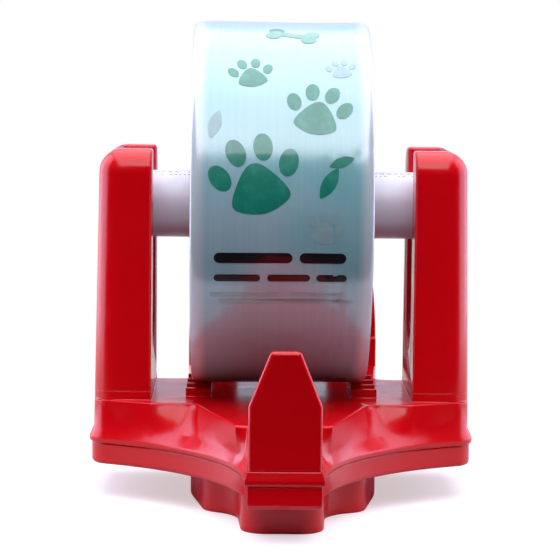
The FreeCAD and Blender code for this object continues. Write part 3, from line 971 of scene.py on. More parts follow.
@dataclass
class ScrewSet:
    """One node of like screws, as pan heads with a cross recess and a cut thread."""

    node: str
    pitch_mm: float = 1.4
    thread_mm: float = 0.30
    recess_width_mm: float = 1.0
    recess_length_mm: float = 4.6
    recess_depth_mm: float = 1.4
    crown_share: float = 0.55
    crown_taper: float = 0.62
    crown_power: float = 2.0
    crown_steps: int = 8
    head_share: float = 0.9
    tip_share: float = 0.5
    thread_tip_share: float = 0.55
    thread_reach: float = 0.96
    thread_steps: int = 14
    sides: int = 32
    place_digits: int = 4

    def solids(self) -> list[list[Vector]]:
        """The corners of each separate screw of the node, in order of place."""
        shape = bmesh.new()
        shape.from_mesh(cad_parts[self.node].data)
        bmesh.ops.remove_doubles(shape, verts=shape.verts, dist=MERGE_MM * MM)
        shape.verts.ensure_lookup_table()
        unseen = set(shape.verts)
        found = []
        while unseen:
            open_verts = [unseen.pop()]
            island = []
            while open_verts:
                vert = open_verts.pop()
                island.append(vert.co.copy())
                for edge in vert.link_edges:
                    other = edge.other_vert(vert)
                    if other in unseen:
                        unseen.remove(other)
                        open_verts.append(other)
            found.append(island)
        shape.free()
        return sorted(found, key=lambda island: [round(v, self.place_digits) for v in island_middle(island)])

    def measure(self, island: list[Vector]) -> tuple[Vector, Vector, dict[str, float]]:
        """Reads a screw's seat, direction and sizes from its corners.

        Args:
            island: The corners of one screw.

        Returns:
            The seat under the head, the direction of the shank, and the sizes in metres.
        """
        corners = np.array([tuple(p) for p in island])
        low, high = corners.min(0), corners.max(0)
        axis = int(np.argmax(high - low))
        across = [i for i in range(3) if i != axis]
        middle = (low + high) / 2
        reach = np.hypot(*(corners[:, i] - middle[i] for i in across))
        head = corners[reach > reach.max() * self.head_share]
        head_low, head_high = head[:, axis].min(), head[:, axis].max()
        forward = head_low - low[axis] < high[axis] - head_high
        direction = np.zeros(3)
        direction[axis] = 1.0 if forward else -1.0
        seat = middle.copy()
        seat[axis] = head_high if forward else head_low
        tip = high[axis] if forward else low[axis]
        thin = corners[np.abs(corners[:, axis] - tip) < MERGE_MM * MM]
        shank = np.hypot(*(thin[:, i] - middle[i] for i in across)).max()
        sizes = {
            "Head Radius": float(reach.max()),
            "Head Height": float(head_high - head_low),
            "Shank Radius": float(shank),
            "Shank Length": float(abs(tip - seat[axis])),
        }
        return Vector(seat), Vector(direction), sizes

    def tree(self, sizes: Mapping[str, float], direction: Vector) -> NodeGroup:
        """Builds the screw's tree: head, recess and thread, one on each point.

        Args:
            sizes: The measured sizes of the screw.
            direction: The direction of its shank.

        Returns:
            The finished tree.
        """
        thread_sizes = {"Pitch": self.pitch_mm * MM, "Thread": self.thread_mm * MM}
        group = NodeGroup(f"{self.node}_screws", {**sizes, **thread_sizes})
        rim = self.add_scaled(group, "Head Height", 1 - self.crown_share)
        barrel = group.add(
            "GeometryNodeMeshCone",
            {
                "Vertices": self.sides,
                "Side Segments": self.crown_steps,
                "Radius Top": group.size("Head Radius"),
                "Radius Bottom": group.size("Head Radius"),
                "Depth": group.size("Head Height"),
            },
        )
        spot = group.add("GeometryNodeInputPosition")
        place = group.add("ShaderNodeSeparateXYZ", {"Vector": spot.outputs["Position"]})
        drawn_in = group.add(
            "ShaderNodeMapRange",
            {"Value": place.outputs["Z"], 1: rim, 2: group.size("Head Height"), 3: 0.0, 4: 1.0},
        )
        bent = group.add(
            "ShaderNodeMath",
            {0: drawn_in.outputs["Result"], 1: self.crown_power},
            operation="POWER",
        )
        taper = group.add(
            "ShaderNodeMapRange",
            {"Value": bent.outputs["Value"], 1: 0.0, 2: 1.0, 3: 1.0, 4: self.crown_taper},
        )
        narrowed = [
            group.add(
                "ShaderNodeMath",
                {0: place.outputs[axis], 1: taper.outputs["Result"]},
                operation="MULTIPLY",
            )
            for axis in ("X", "Y")
        ]
        domed = group.add(
            "ShaderNodeCombineXYZ",
            {"X": narrowed[0].outputs["Value"], "Y": narrowed[1].outputs["Value"], "Z": place.outputs["Z"]},
        )
        pan = group.add(
            "GeometryNodeSetPosition",
            {"Geometry": barrel.outputs["Mesh"], "Position": domed.outputs["Vector"]},
        )
        recess_z = group.add("ShaderNodeCombineXYZ", {"Z": group.size("Head Height")})
        bars = []
        for size in (
            (self.recess_width_mm, self.recess_length_mm),
            (self.recess_length_mm, self.recess_width_mm),
        ):
            bar = group.add(
                "GeometryNodeMeshCube",
                {"Size": (size[0] * MM, size[1] * MM, 2 * self.recess_depth_mm * MM)},
            )
            moved = group.add(
                "GeometryNodeTransform",
                {"Geometry": bar.outputs["Mesh"], "Translation": recess_z.outputs["Vector"]},
            )
            bars.append(moved)
        head = pan.outputs["Geometry"]
        for bar in bars:
            cut = group.add(
                "GeometryNodeMeshBoolean",
                {"Mesh 1": head, "Mesh 2": bar.outputs["Geometry"]},
                operation="DIFFERENCE", solver="MANIFOLD",
            )
            head = cut.outputs["Mesh"]
        facing = group.add("GeometryNodeTransform", {"Geometry": head, "Rotation": (math.pi, 0.0, 0.0)})
        root = group.add(
            "ShaderNodeMath",
            {0: group.size("Shank Radius"), 1: group.size("Thread")},
            operation="SUBTRACT",
        )
        core = group.add(
            "GeometryNodeMeshCone",
            {
                "Vertices": self.sides,
                "Radius Top": self.add_scaled(group, "Shank Radius", self.tip_share),
                "Radius Bottom": root.outputs["Value"],
                "Depth": group.size("Shank Length"),
            },
        )
        turns = group.add(
            "ShaderNodeMath",
            {0: group.size("Shank Length"), 1: group.size("Pitch")},
            operation="DIVIDE",
        )
        helix = group.add(
            "GeometryNodeCurveSpiral",
            {
                "Resolution": self.thread_steps,
                "Rotations": turns.outputs["Value"],
                "Start Radius": root.outputs["Value"],
                "End Radius": self.add_scaled(group, "Shank Radius", self.thread_tip_share),
                "Height": self.add_scaled(group, "Shank Length", self.thread_reach),
            },
        )
        tooth = group.add(
            "GeometryNodeCurvePrimitiveCircle",
            {"Resolution": 4, "Radius": group.size("Thread")},
        )
        thread = group.add(
            "GeometryNodeCurveToMesh",
            {"Curve": helix.outputs["Curve"], "Profile Curve": tooth.outputs["Curve"], "Fill Caps": True},
        )
        parts = group.add("GeometryNodeJoinGeometry")
        for part in (facing.outputs["Geometry"], core.outputs["Mesh"], thread.outputs["Mesh"]):
            group.tree.links.new(part, parts.inputs["Geometry"])
        turn = group.add("FunctionNodeAlignRotationToVector", {"Vector": tuple(direction)}, axis="Z")
        placed = group.add(
            "GeometryNodeInstanceOnPoints",
            {
                "Points": group.size("Geometry"),
                "Instance": parts.outputs["Geometry"],
                "Rotation": turn.outputs["Rotation"],
            },
        )
        group.finish(placed.outputs["Instances"])
        return group

    def add_scaled(self, group: NodeGroup, label: str, share: float) -> bpy.types.NodeSocket:
        """An input of the tree times a share."""
        scaled = group.add("ShaderNodeMath", {0: group.size(label), 1: share}, operation="MULTIPLY")
        return scaled.outputs["Value"]

    def build(self, material: bpy.types.Material) -> bpy.types.Object:
        """Builds the screws in place of their node.

        Args:
            material: The finish of the screws.

        Returns:
            The finished piece.
        """
        measured = [self.measure(island) for island in self.solids()]
        _, direction, sizes = measured[0]
        group = self.tree(sizes, direction)
        mesh = group.grow(points_mesh(f"{self.node}_seats", [seat for seat, _, _ in measured]), material)
        piece = new_object(f"{self.node}_finished", mesh, material)
        return settle(piece, Body.HOUSING, Slot.STEEL, self.node)


def island_middle(island: list[Vector]) -> Vector:
    """The mean of a list of points."""
    return sum(island, Vector()) / len(island)


@dataclass
class Pipe:
    """The white pipe that carries the roll, with two rows of plain ticks along its top."""

    edge_mm: float = 0.5
    tick_rows_deg: tuple[float, ...] = (73.3, 62.8)
    tick_lengths_mm: tuple[float, ...] = (3.4, 2.2)
    tick_heights_mm: tuple[float, ...] = (1.0, 0.8)
    tick_pitches_mm: tuple[float, ...] = (3.9, 2.7)
    tick_chance: float = 0.72
    tick_smallest: tuple[float, float, float] = (0.25, 0.6, 1.0)
    tick_largest: tuple[float, float, float] = (1.0, 1.0, 1.0)
    lift_mm: float = 0.04
    end_margin_mm: float = 4.0
    chance_seed: int = 11
    stretch_seed: int = 18

    def tick_tree(self, row: int, angle: float) -> NodeGroup:
        """Builds the tree of one row of ticks.

        Args:
            row: The number of the row.
            angle: How far up the pipe's front the row lies, in radians.

        Returns:
            The finished tree.
        """
        sizes = {
            "Tick Length": self.tick_lengths_mm[row] * MM,
            "Tick Height": self.tick_heights_mm[row] * MM,
            "Pitch": self.tick_pitches_mm[row] * MM,
            "Chance": self.tick_chance,
        }
        group = NodeGroup(f"pipe_tick_row_{row}", sizes)
        tick = group.add(
            "GeometryNodeMeshGrid",
            {
                "Size X": group.size("Tick Length"),
                "Size Y": group.size("Tick Height"),
                "Vertices X": 2,
                "Vertices Y": 2,
            },
        )
        shown = group.add(
            "FunctionNodeRandomValue",
            {"Probability": group.size("Chance"), "Seed": self.chance_seed + row},
            data_type="BOOLEAN",
        )
        stretch = group.add(
            "FunctionNodeRandomValue",
            {0: self.tick_smallest, 1: self.tick_largest, "Seed": self.stretch_seed + row},
            data_type="FLOAT_VECTOR",
        )
        placed = group.add(
            "GeometryNodeInstanceOnPoints",
            {
                "Points": group.spots(),
                "Selection": shown.outputs[3],
                "Instance": tick.outputs["Mesh"],
                "Rotation": (math.pi / 2 - angle, 0.0, 0.0),
                "Scale": stretch.outputs[0],
            },
        )
        group.finish(placed.outputs["Instances"])
        return group

    def build(self, pipe_material: bpy.types.Material, ink: bpy.types.Material) -> list[bpy.types.Object]:
        """Builds the pipe and its ticks.

        Args:
            pipe_material: The finish of the pipe.
            ink: The finish of the ticks.

        Returns:
            The finished pieces.
        """
        pieces = [Moulding("axle_tube", Body.TUBE, Slot.PIPE, self.edge_mm).build(pipe_material)]
        low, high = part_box("axle_tube")
        centre = (low + high) / 2
        radius = (high.z - low.z) / 2 + self.lift_mm * MM
        margin = self.end_margin_mm * MM
        for row, degrees in enumerate(self.tick_rows_deg):
            angle = math.radians(degrees)
            y = centre.y - radius * math.cos(angle)
            z = centre.z + radius * math.sin(angle)
            ends = [Vector((low.x + margin, y, z)), Vector((high.x - margin, y, z))]
            group = self.tick_tree(row, angle)
            mesh = group.grow(points_mesh(f"tick_line_{row}", ends, joined=True), ink)
            pieces.append(settle(new_object(f"pipe_ticks_{row}", mesh, ink), Body.TUBE, None))
        return pieces


@dataclass(frozen=True)
class Mark:
    """One printed shape: where it lies on the unrolled bag, its size and its turn."""

    motif: Motif
    ink: Ink
    across_mm: float
    along_mm: float
    size_mm: float
    turn_deg: float = 0.0
    length_mm: float = 0.0


def ellipse(x: float, y: float, a: float, b: float, turn: float = 0.0, steps: int = 40) -> Outline:
    """The outline of an ellipse.

    Args:
        x: Its middle across.
        y: Its middle along.
        a: Its half width.
        b: Its half height.
        turn: How far it is turned, in degrees.
        steps: How many points it has.

    Returns:
        The points in order.
    """
    c, s = math.cos(math.radians(turn)), math.sin(math.radians(turn))
    angles = [math.tau * i / steps for i in range(steps)]
    flat = [(a * math.cos(t), b * math.sin(t)) for t in angles]
    return [(x + c * u - s * v, y + s * u + c * v) for u, v in flat]


def capsule(length: float, height: float, steps: int = 10) -> Outline:
    """The outline of a bar with round ends.

    Args:
        length: Its whole length.
        height: Its height.
        steps: How many steps each end has.

    Returns:
        The points in order.
    """
    r = height / 2
    straight = length / 2 - r
    turns = [math.pi * i / steps for i in range(steps + 1)]
    right = [(straight + r * math.sin(t), -r * math.cos(t)) for t in turns]
    return right + [(-x, -y) for x, y in right]


def motif_outlines(mark: Mark) -> list[Outline]:
    """The outlines of a printed shape, about its own middle.

    Args:
        mark: The shape.

    Returns:
        Its outlines in millimetres, which may overlap.
    """
    # The numbers below are shares of the shape's size, drawn one by one.
    size = mark.size_mm
    if mark.motif is Motif.PAW:
        steps = 64
        pad = [
            (
                size * 0.29 * math.cos(t) * (1 + 0.10 * math.cos(2 * t)),
                size * (-0.20 + 0.24 * math.sin(t) * (1 - 0.16 * math.cos(2 * t)) - 0.06 * math.cos(2 * t)),
            )
            for t in (math.tau * i / steps for i in range(steps))
        ]
        toes = [(-0.38, 0.06, 24.0), (-0.15, 0.29, 8.0), (0.15, 0.29, -8.0), (0.38, 0.06, -24.0)]
        return [pad] + [ellipse(size * x, size * y, size * 0.105, size * 0.155, turn) for x, y, turn in toes]
    if mark.motif is Motif.BONE:
        half = size / 2
        knob = size * 0.15
        places = [(side * (half - knob), row * knob * 0.82) for side in (-1, 1) for row in (-1, 1)]
        ends = [ellipse(x, y, knob, knob) for x, y in places]
        return [capsule(size - knob, knob * 1.3)] + ends
    if mark.motif is Motif.LEAF:
        steps = 24
        reach = [i / steps for i in range(steps)]
        upper = [(size * (u - 0.5), size * 0.20 * math.sin(math.pi * u) ** 0.8) for u in reach]
        return [upper + [(-x, -y) for x, y in upper]]
    return [capsule(mark.length_mm, size)]


@dataclass
class BagRoll:
    """The wound bags: a soft-edged roll of film with its layers at the ends, its print and a perforation."""

    round_steps: int = 360
    width_steps: int = 56
    face_rings: int = 30
    rim_steps: int = 8
    rim_mm: float = 2.4
    rim_across_mm: float = 6.0
    ring_depth_mm: float = 0.7
    ring_wave_mm: float = 0.25
    # How far the wave's noise moves on from ring to ring, from side to side and round the roll.
    ring_wave_steps: tuple[float, float, float] = (3.7, 9.0, 2.2)
    bore_fade_rings: float = 3.0
    rim_fade_rings: float = 2.0
    rim_clear_share: float = 0.1
    core_edge_mm: float = 0.4
    end_step_mm: float = 0.28
    end_angle_deg: float = 128.0
    sag_mm: float = 0.6
    sag_place_mm: float = 12.0
    sag_width_mm: float = 24.0
    wave_mm: float = 0.22
    wave_size_mm: float = 46.0
    crease_mm: float = 0.32
    crease_across_mm: float = 5.5
    crease_along_mm: float = 34.0
    crease_sharpness: float = 2.2
    # Creases grow towards the rims, most on the right: where they start, and where they are full.
    crease_right_mm: tuple[float, float] = (14.0, 36.0)
    crease_left_mm: tuple[float, float] = (30.0, 46.0)
    crease_left_share: float = 0.5
    crease_least: float = 0.12
    # The film's map starts this many radii along, past the maps of the two end faces.
    map_start_radii: int = 3
    print_lift_mm: float = 0.18
    print_grid_mm: float = 1.6
    bags_round: int = 2
    perforation_deg: float = -68.0
    perforation_pitch_mm: float = 3.0
    perforation_length_mm: float = 1.5
    perforation_height_mm: float = 0.45
    seed: int = 5
    marks: tuple[Mark, ...] = (
        Mark(Motif.PAW, Ink.GREEN, -15.0, 22.0, 52.0, 14.0),
        Mark(Motif.PAW, Ink.GREEN, 20.0, 62.0, 38.0, -12.0),
        Mark(Motif.PAW, Ink.GREEN, -18.0, 88.0, 26.0, 10.0),
        Mark(Motif.LEAF, Ink.GREEN, 26.0, 18.0, 20.0, 60.0),
        Mark(Motif.LEAF, Ink.GREEN, 33.0, 30.0, 15.0, 20.0),
        Mark(Motif.BONE, Ink.GREEN, 6.0, 128.0, 30.0, -16.0),
        Mark(Motif.BAR, Ink.BLACK, -16.0, -24.5, 6.0, 0.0, 44.0),
        Mark(Motif.BAR, Ink.BLACK, 23.0, -24.5, 6.0, 0.0, 26.0),
        Mark(Motif.BAR, Ink.BLACK, -25.0, -36.5, 4.2, 0.0, 26.0),
        Mark(Motif.BAR, Ink.BLACK, 4.0, -36.5, 4.2, 0.0, 24.0),
        Mark(Motif.BAR, Ink.BLACK, 28.0, -36.5, 4.2, 0.0, 17.0),
        Mark(Motif.BAR, Ink.SHOW_THROUGH, -20.0, -47.0, 2.2, 0.0, 40.0),
        Mark(Motif.BAR, Ink.SHOW_THROUGH, 20.0, -47.0, 2.2, 0.0, 30.0),
        Mark(Motif.BAR, Ink.SHOW_THROUGH, 3.0, -51.5, 2.2, 0.0, 76.0),
        Mark(Motif.PAW, Ink.SHOW_THROUGH, 33.0, 92.0, 18.0, 8.0),
        Mark(Motif.PAW, Ink.SHOW_THROUGH, 24.0, -7.0, 22.0, -18.0),
        Mark(Motif.LEAF, Ink.SHOW_THROUGH, -38.0, 52.0, 18.0, 75.0),
    )

    def __post_init__(self) -> None:
        """Reads the roll's place and sizes from the frame and works out its surface."""
        low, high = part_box("bag_roll")
        core_low, core_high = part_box("roll_core")
        self.centre = (low + high) / 2
        self.radius_mm = (high.z - low.z) / 2 / MM
        self.half_mm = (high.x - low.x) / 2 / MM
        self.bore_mm = (core_high.z - core_low.z) / 2 / MM
        flat = self.half_mm - self.rim_across_mm
        self.stations = np.linspace(-flat, flat, self.width_steps + 1)
        self.angles = np.arange(self.round_steps) * (math.tau / self.round_steps)
        self.dents = np.array([[self.dent(a, x) for x in self.stations] for a in self.angles])

    def dent(self, angle: float, x: float) -> float:
        """How far the film lies inside the roll's full radius.

        Args:
            angle: The angle up from the front, in radians.
            x: The place across the roll, in millimetres from its middle.

        Returns:
            The depth in millimetres.
        """
        past_end = (angle - math.radians(self.end_angle_deg)) % math.tau
        layer = self.end_step_mm * (1 - past_end / math.tau)
        sag = self.sag_mm * math.exp(-(((x - self.sag_place_mm) / self.sag_width_mm) ** 2))
        round_y = self.radius_mm * math.cos(angle)
        round_z = self.radius_mm * math.sin(angle)
        wave_place = Vector((x, round_y, round_z)) / self.wave_size_mm
        wave = self.wave_mm * (0.5 + 0.5 * noise.noise(wave_place))
        along = self.crease_along_mm
        crease_place = Vector((x / self.crease_across_mm, round_y / along, round_z / along))
        ridge = max(0.0, 1 - self.crease_sharpness * abs(noise.noise(crease_place))) ** 2
        right = smooth(*self.crease_right_mm, x)
        left = self.crease_left_share * smooth(*self.crease_left_mm, -x)
        crease = self.crease_mm * (right + left + self.crease_least) * ridge
        return layer + sag + wave + crease

    def dent_at(self, angle: float, x: float) -> float:
        """The film's depth between the points of its mesh.

        Args:
            angle: The angle up from the front, in radians.
            x: The place across the roll, in millimetres from its middle.

        Returns:
            The depth in millimetres.
        """
        row = (angle / math.tau * self.round_steps) % self.round_steps
        column = (x - self.stations[0]) / (self.stations[1] - self.stations[0])
        column = min(max(column, 0.0), self.width_steps - JUST_INSIDE)
        i, j = int(row), int(column)
        u, v = row - i, column - j
        k = (i + 1) % self.round_steps
        near = self.dents[i, j] * (1 - v) + self.dents[i, j + 1] * v
        far = self.dents[k, j] * (1 - v) + self.dents[k, j + 1] * v
        return float(near * (1 - u) + far * u)

    def point(self, angle: float, radius: float, x: float) -> tuple[float, float, float]:
        """A point about the roll's axis.

        Args:
            angle: The angle up from the front, in radians.
            radius: The distance from the axis, in millimetres.
            x: The place across the roll, in millimetres.

        Returns:
            The point in metres.
        """
        return (
            self.centre.x + x * MM,
            self.centre.y - radius * math.cos(angle) * MM,
            self.centre.z + radius * math.sin(angle) * MM,
        )

    def profile(self, row: int, rings: np.ndarray) -> list[tuple[float, float, float]]:
        """The section of the roll at one angle, from the left bore round to the right bore.

        Args:
            row: The number of the angle.
            rings: How far each ring of the two end faces lies in, in millimetres.

        Returns:
            For each point its place across, its radius, and its place on the film's map.
        """
        angle = self.angles[row]
        dents = self.dents[row]
        rim_radius = self.radius_mm - self.rim_mm
        last_ring = rim_radius - dents[0] - self.rim_mm * self.rim_clear_share
        radii = np.linspace(self.bore_mm, last_ring, self.face_rings)
        per_ring, per_side, per_turn = self.ring_wave_steps
        sides = []
        for side, column in ((-1, 0), (1, -1)):
            points = []
            for ring, radius in enumerate(radii):
                wave_place = Vector((ring * per_ring, side * per_side, per_turn * math.sin(angle)))
                wave = self.ring_wave_mm * noise.noise(wave_place)
                from_bore = smooth(0.0, self.bore_fade_rings, ring)
                from_rim = smooth(0.0, self.rim_fade_rings, self.face_rings - 1 - ring)
                depth = from_bore * from_rim * max(0.0, rings[(side + 1) // 2, ring] + wave)
                points.append((side * (self.half_mm - depth), radius, radius))
            for step in range(1, self.rim_steps):
                turn = math.pi / 2 * step / self.rim_steps
                x = side * (self.half_mm - self.rim_across_mm * (1 - math.cos(turn)))
                radius = rim_radius - dents[column] + self.rim_mm * math.sin(turn)
                points.append((x, radius, self.radius_mm + self.rim_mm * step / self.rim_steps))
            sides.append(points)
        left, right = sides
        map_start = self.map_start_radii * self.radius_mm
        across = [(x, self.radius_mm - d, x + map_start) for x, d in zip(self.stations, dents)]
        return left + across + right[::-1]

    def film_mesh(self) -> bpy.types.Mesh:
        """Builds the film's closed mesh, with a map of arc length and place across."""
        draw = random.Random(self.seed)
        depths = [[self.ring_depth_mm * draw.random() ** 2 for _ in range(self.face_rings)] for _ in range(2)]
        rings = np.array(depths)
        rows = [self.profile(i, rings) for i in range(self.round_steps)]
        count = len(rows[0])
        points = [self.point(self.angles[i], r, x) for i, row in enumerate(rows) for x, r, _ in row]
        faces = []
        places = []
        arc = self.radius_mm * math.tau / self.round_steps
        for i in range(self.round_steps):
            k = (i + 1) % self.round_steps
            for j in range(count):
                m = (j + 1) % count
                faces.append((i * count + j, i * count + m, k * count + m, k * count + j))
                near, far = rows[i][j][2], rows[i][m][2]
                start, end = i * arc, (i + 1) * arc
                places += [(start, near), (start, far), (end, far), (end, near)]
        mesh = bpy.data.meshes.new("bag_roll_film")
        mesh.from_pydata(points, [], faces)
        film_map = mesh.uv_layers.new(name="film_map")
        film_map.data.foreach_set("uv", np.array(places, dtype=np.float32).ravel() * MM)
        return outward(mesh)

    def mark_mesh(self, mark: Mark, start_mm: float, draw: bmesh.types.BMesh) -> None:
        """Lays one printed shape on the film.

        Args:
            mark: The shape.
            start_mm: How far round the roll its bag starts.
            draw: The mesh that gets its triangles.
        """
        outlines = motif_outlines(mark)
        corners = [Vector(p) for outline in outlines for p in outline]
        faces = []
        first = 0
        for outline in outlines:
            faces.append(list(range(first, first + len(outline))))
            first += len(outline)
        xs = [c.x for c in corners]
        ys = [c.y for c in corners]
        step = self.print_grid_mm
        fill = [
            Vector((x, y))
            for x in np.arange(min(xs), max(xs), step)
            for y in np.arange(min(ys), max(ys), step)
        ]
        filled = geometry.delaunay_2d_cdt(corners + fill, [], faces, FILL_INSIDE, FILL_MERGE_MM)
        flat, _, triangles, *_ = filled
        turn = math.radians(mark.turn_deg)
        c, s = math.cos(turn), math.sin(turn)
        verts = {}
        for triangle in triangles:
            for index in triangle:
                if index in verts:
                    continue
                u, v = flat[index]
                x = mark.across_mm + c * u - s * v
                angle = (start_mm + mark.along_mm + s * u + c * v) / self.radius_mm
                radius = self.radius_mm - self.dent_at(angle, x) + self.print_lift_mm
                verts[index] = draw.verts.new(self.point(angle, radius, x))
            draw.faces.new([verts[index] for index in triangle])

    def print_mesh(self, ink: Ink) -> bpy.types.Mesh:
        """Builds everything that one ink prints, once for each bag round the roll.

        Args:
            ink: The ink.

        Returns:
            The mesh of its shapes.
        """
        draw = bmesh.new()
        bag_mm = math.tau * self.radius_mm / self.bags_round
        for bag in range(self.bags_round):
            for mark in self.marks:
                if mark.ink is ink:
                    self.mark_mesh(mark, bag * bag_mm, draw)
        mesh = bpy.data.meshes.new(f"bag_print_{ink.value}")
        draw.normal_update()
        for face in draw.faces:
            middle = face.calc_center_median() - self.centre
            if face.normal.dot(Vector((0.0, middle.y, middle.z))) < 0:
                face.normal_flip()
        draw.to_mesh(mesh)
        draw.free()
        for polygon in mesh.polygons:
            polygon.use_smooth = True
        return mesh

    def perforation_tree(self, angle: float) -> NodeGroup:
        """Builds the tree of one row of perforations.

        Args:
            angle: The angle of the row up from the front, in radians.

        Returns:
            The finished tree.
        """
        sizes = {
            "Pitch": self.perforation_pitch_mm * MM,
            "Slit Length": self.perforation_length_mm * MM,
            "Slit Height": self.perforation_height_mm * MM,
        }
        group = NodeGroup("bag_perforation", sizes)
        slit = group.add(
            "GeometryNodeMeshCircle",
            {"Vertices": 10, "Radius": 0.5},
            fill_type="NGON",
        )
        shape = group.add(
            "ShaderNodeCombineXYZ",
            {"X": group.size("Slit Length"), "Y": group.size("Slit Height"), "Z": 1.0},
        )
        placed = group.add(
            "GeometryNodeInstanceOnPoints",
            {
                "Points": group.spots(),
                "Instance": slit.outputs["Mesh"],
                "Rotation": (math.pi / 2 - angle, 0.0, 0.0),
                "Scale": shape.outputs["Vector"],
            },
        )
        group.finish(placed.outputs["Instances"])
        return group

    def build(
        self,
        film: bpy.types.Material,
        board: bpy.types.Material,
        inks: Mapping[Ink, bpy.types.Material],
        torn: bpy.types.Material,
    ) -> list[bpy.types.Object]:
        """Builds the roll, its core, its print and its perforations.

        Args:
            film: The finish of the bags.
            board: The finish of the core.
            inks: The finish of each ink.
            torn: The finish of the pale edges of the perforations.

        Returns:
            The finished pieces.
        """
        roll = new_object("bag_roll_film", self.film_mesh(), film)
        pieces = [settle(roll, Body.ROLL, Slot.FILM, "bag_roll")]
        pieces.append(Moulding("roll_core", Body.ROLL, Slot.BOARD, self.core_edge_mm).build(board))
        for ink, material in inks.items():
            piece = new_object(f"bag_print_{ink.value}", self.print_mesh(ink), material)
            pieces.append(settle(piece, Body.ROLL, None))
        angle = math.radians(self.perforation_deg)
        row = []
        for x in self.stations:
            radius = self.radius_mm - self.dent_at(angle, x) + self.print_lift_mm
            row.append(Vector(self.point(angle, radius, x)))
        slits = self.perforation_tree(angle).grow(points_mesh("perforation_line", row, joined=True), torn)
        pieces.append(settle(new_object("bag_perforations", slits, torn), Body.ROLL, None))
        return pieces


def outward(mesh: bpy.types.Mesh) -> bpy.types.Mesh:
    """Turns a closed mesh's faces outwards and shades it smooth.

    Args:
        mesh: The mesh to mend.

    Returns:
        The same mesh.
    """
    shape = bmesh.new()
    shape.from_mesh(mesh)
    bmesh.ops.recalc_face_normals(shape, faces=shape.faces)
    for face in shape.faces:
        face.smooth = True
    shape.to_mesh(mesh)
    shape.free()
    return mesh


def mirrored_rays(tree: bpy.types.NodeTree, path: bpy.types.Node) -> bpy.types.NodeSocket:
    """Adds a value that is 1 for rays off a glossy surface or through glass, and 0 for the rest.

    Args:
        tree: The node tree that gets it.
        path: The tree's Light Path node.

    Returns:
        The output with the value.
    """
    kinds = {0: path.outputs["Is Glossy Ray"], 1: path.outputs["Is Transmission Ray"]}
    return add_node(tree, "ShaderNodeMath", kinds, operation="MAXIMUM").outputs["Value"]


@dataclass(frozen=True)
class Softbox:
    """A rectangular lamp behind white cloth."""

    name: str
    place: tuple[float, float, float]
    aim: tuple[float, float, float]
    width: float
    height: float
    radiance: float
    colour: str
    fade: float = 0.0

    def grade(self, lamp: bpy.types.AreaLight) -> None:
        """Makes a level lamp brighter towards the front and dimmer towards the back.

        Args:
            lamp: The lamp.
        """
        lamp.use_nodes = True
        tree = lamp.node_tree
        tree.nodes.clear()
        spot = add_node(tree, "ShaderNodeNewGeometry").outputs["Position"]
        parts = add_node(tree, "ShaderNodeSeparateXYZ", {"Vector": spot})
        reach = self.height / 2
        share = add_node(
            tree, "ShaderNodeMapRange",
            {
                "Value": parts.outputs["Y"],
                1: self.place[1] - reach,
                2: self.place[1] + reach,
                3: 1.0 + self.fade,
                4: 1.0 - self.fade,
            },
        )
        glow = add_node(tree, "ShaderNodeEmission", {"Strength": share.outputs["Result"]})
        add_node(tree, "ShaderNodeOutputLight", {"Surface": glow.outputs["Emission"]})

    def build(self) -> None:
        """Adds the lamp, with its power worked out from how bright its cloth looks."""
        lamp = bpy.data.lights.new(self.name, "AREA")
        lamp.shape = "RECTANGLE"
        lamp.size = self.width
        lamp.size_y = self.height
        lamp.energy = self.radiance * math.pi * self.width * self.height
        lamp.color = linear(self.colour)[:3]
        if self.fade:
            self.grade(lamp)
        holder = bpy.data.objects.new(self.name, lamp)
        holder.location = self.place
        look = Vector(self.aim) - Vector(self.place)
        holder.rotation_euler = look.to_track_quat("-Z", "Y").to_euler()
        holder.visible_camera = False
        bpy.context.scene.collection.objects.link(holder)


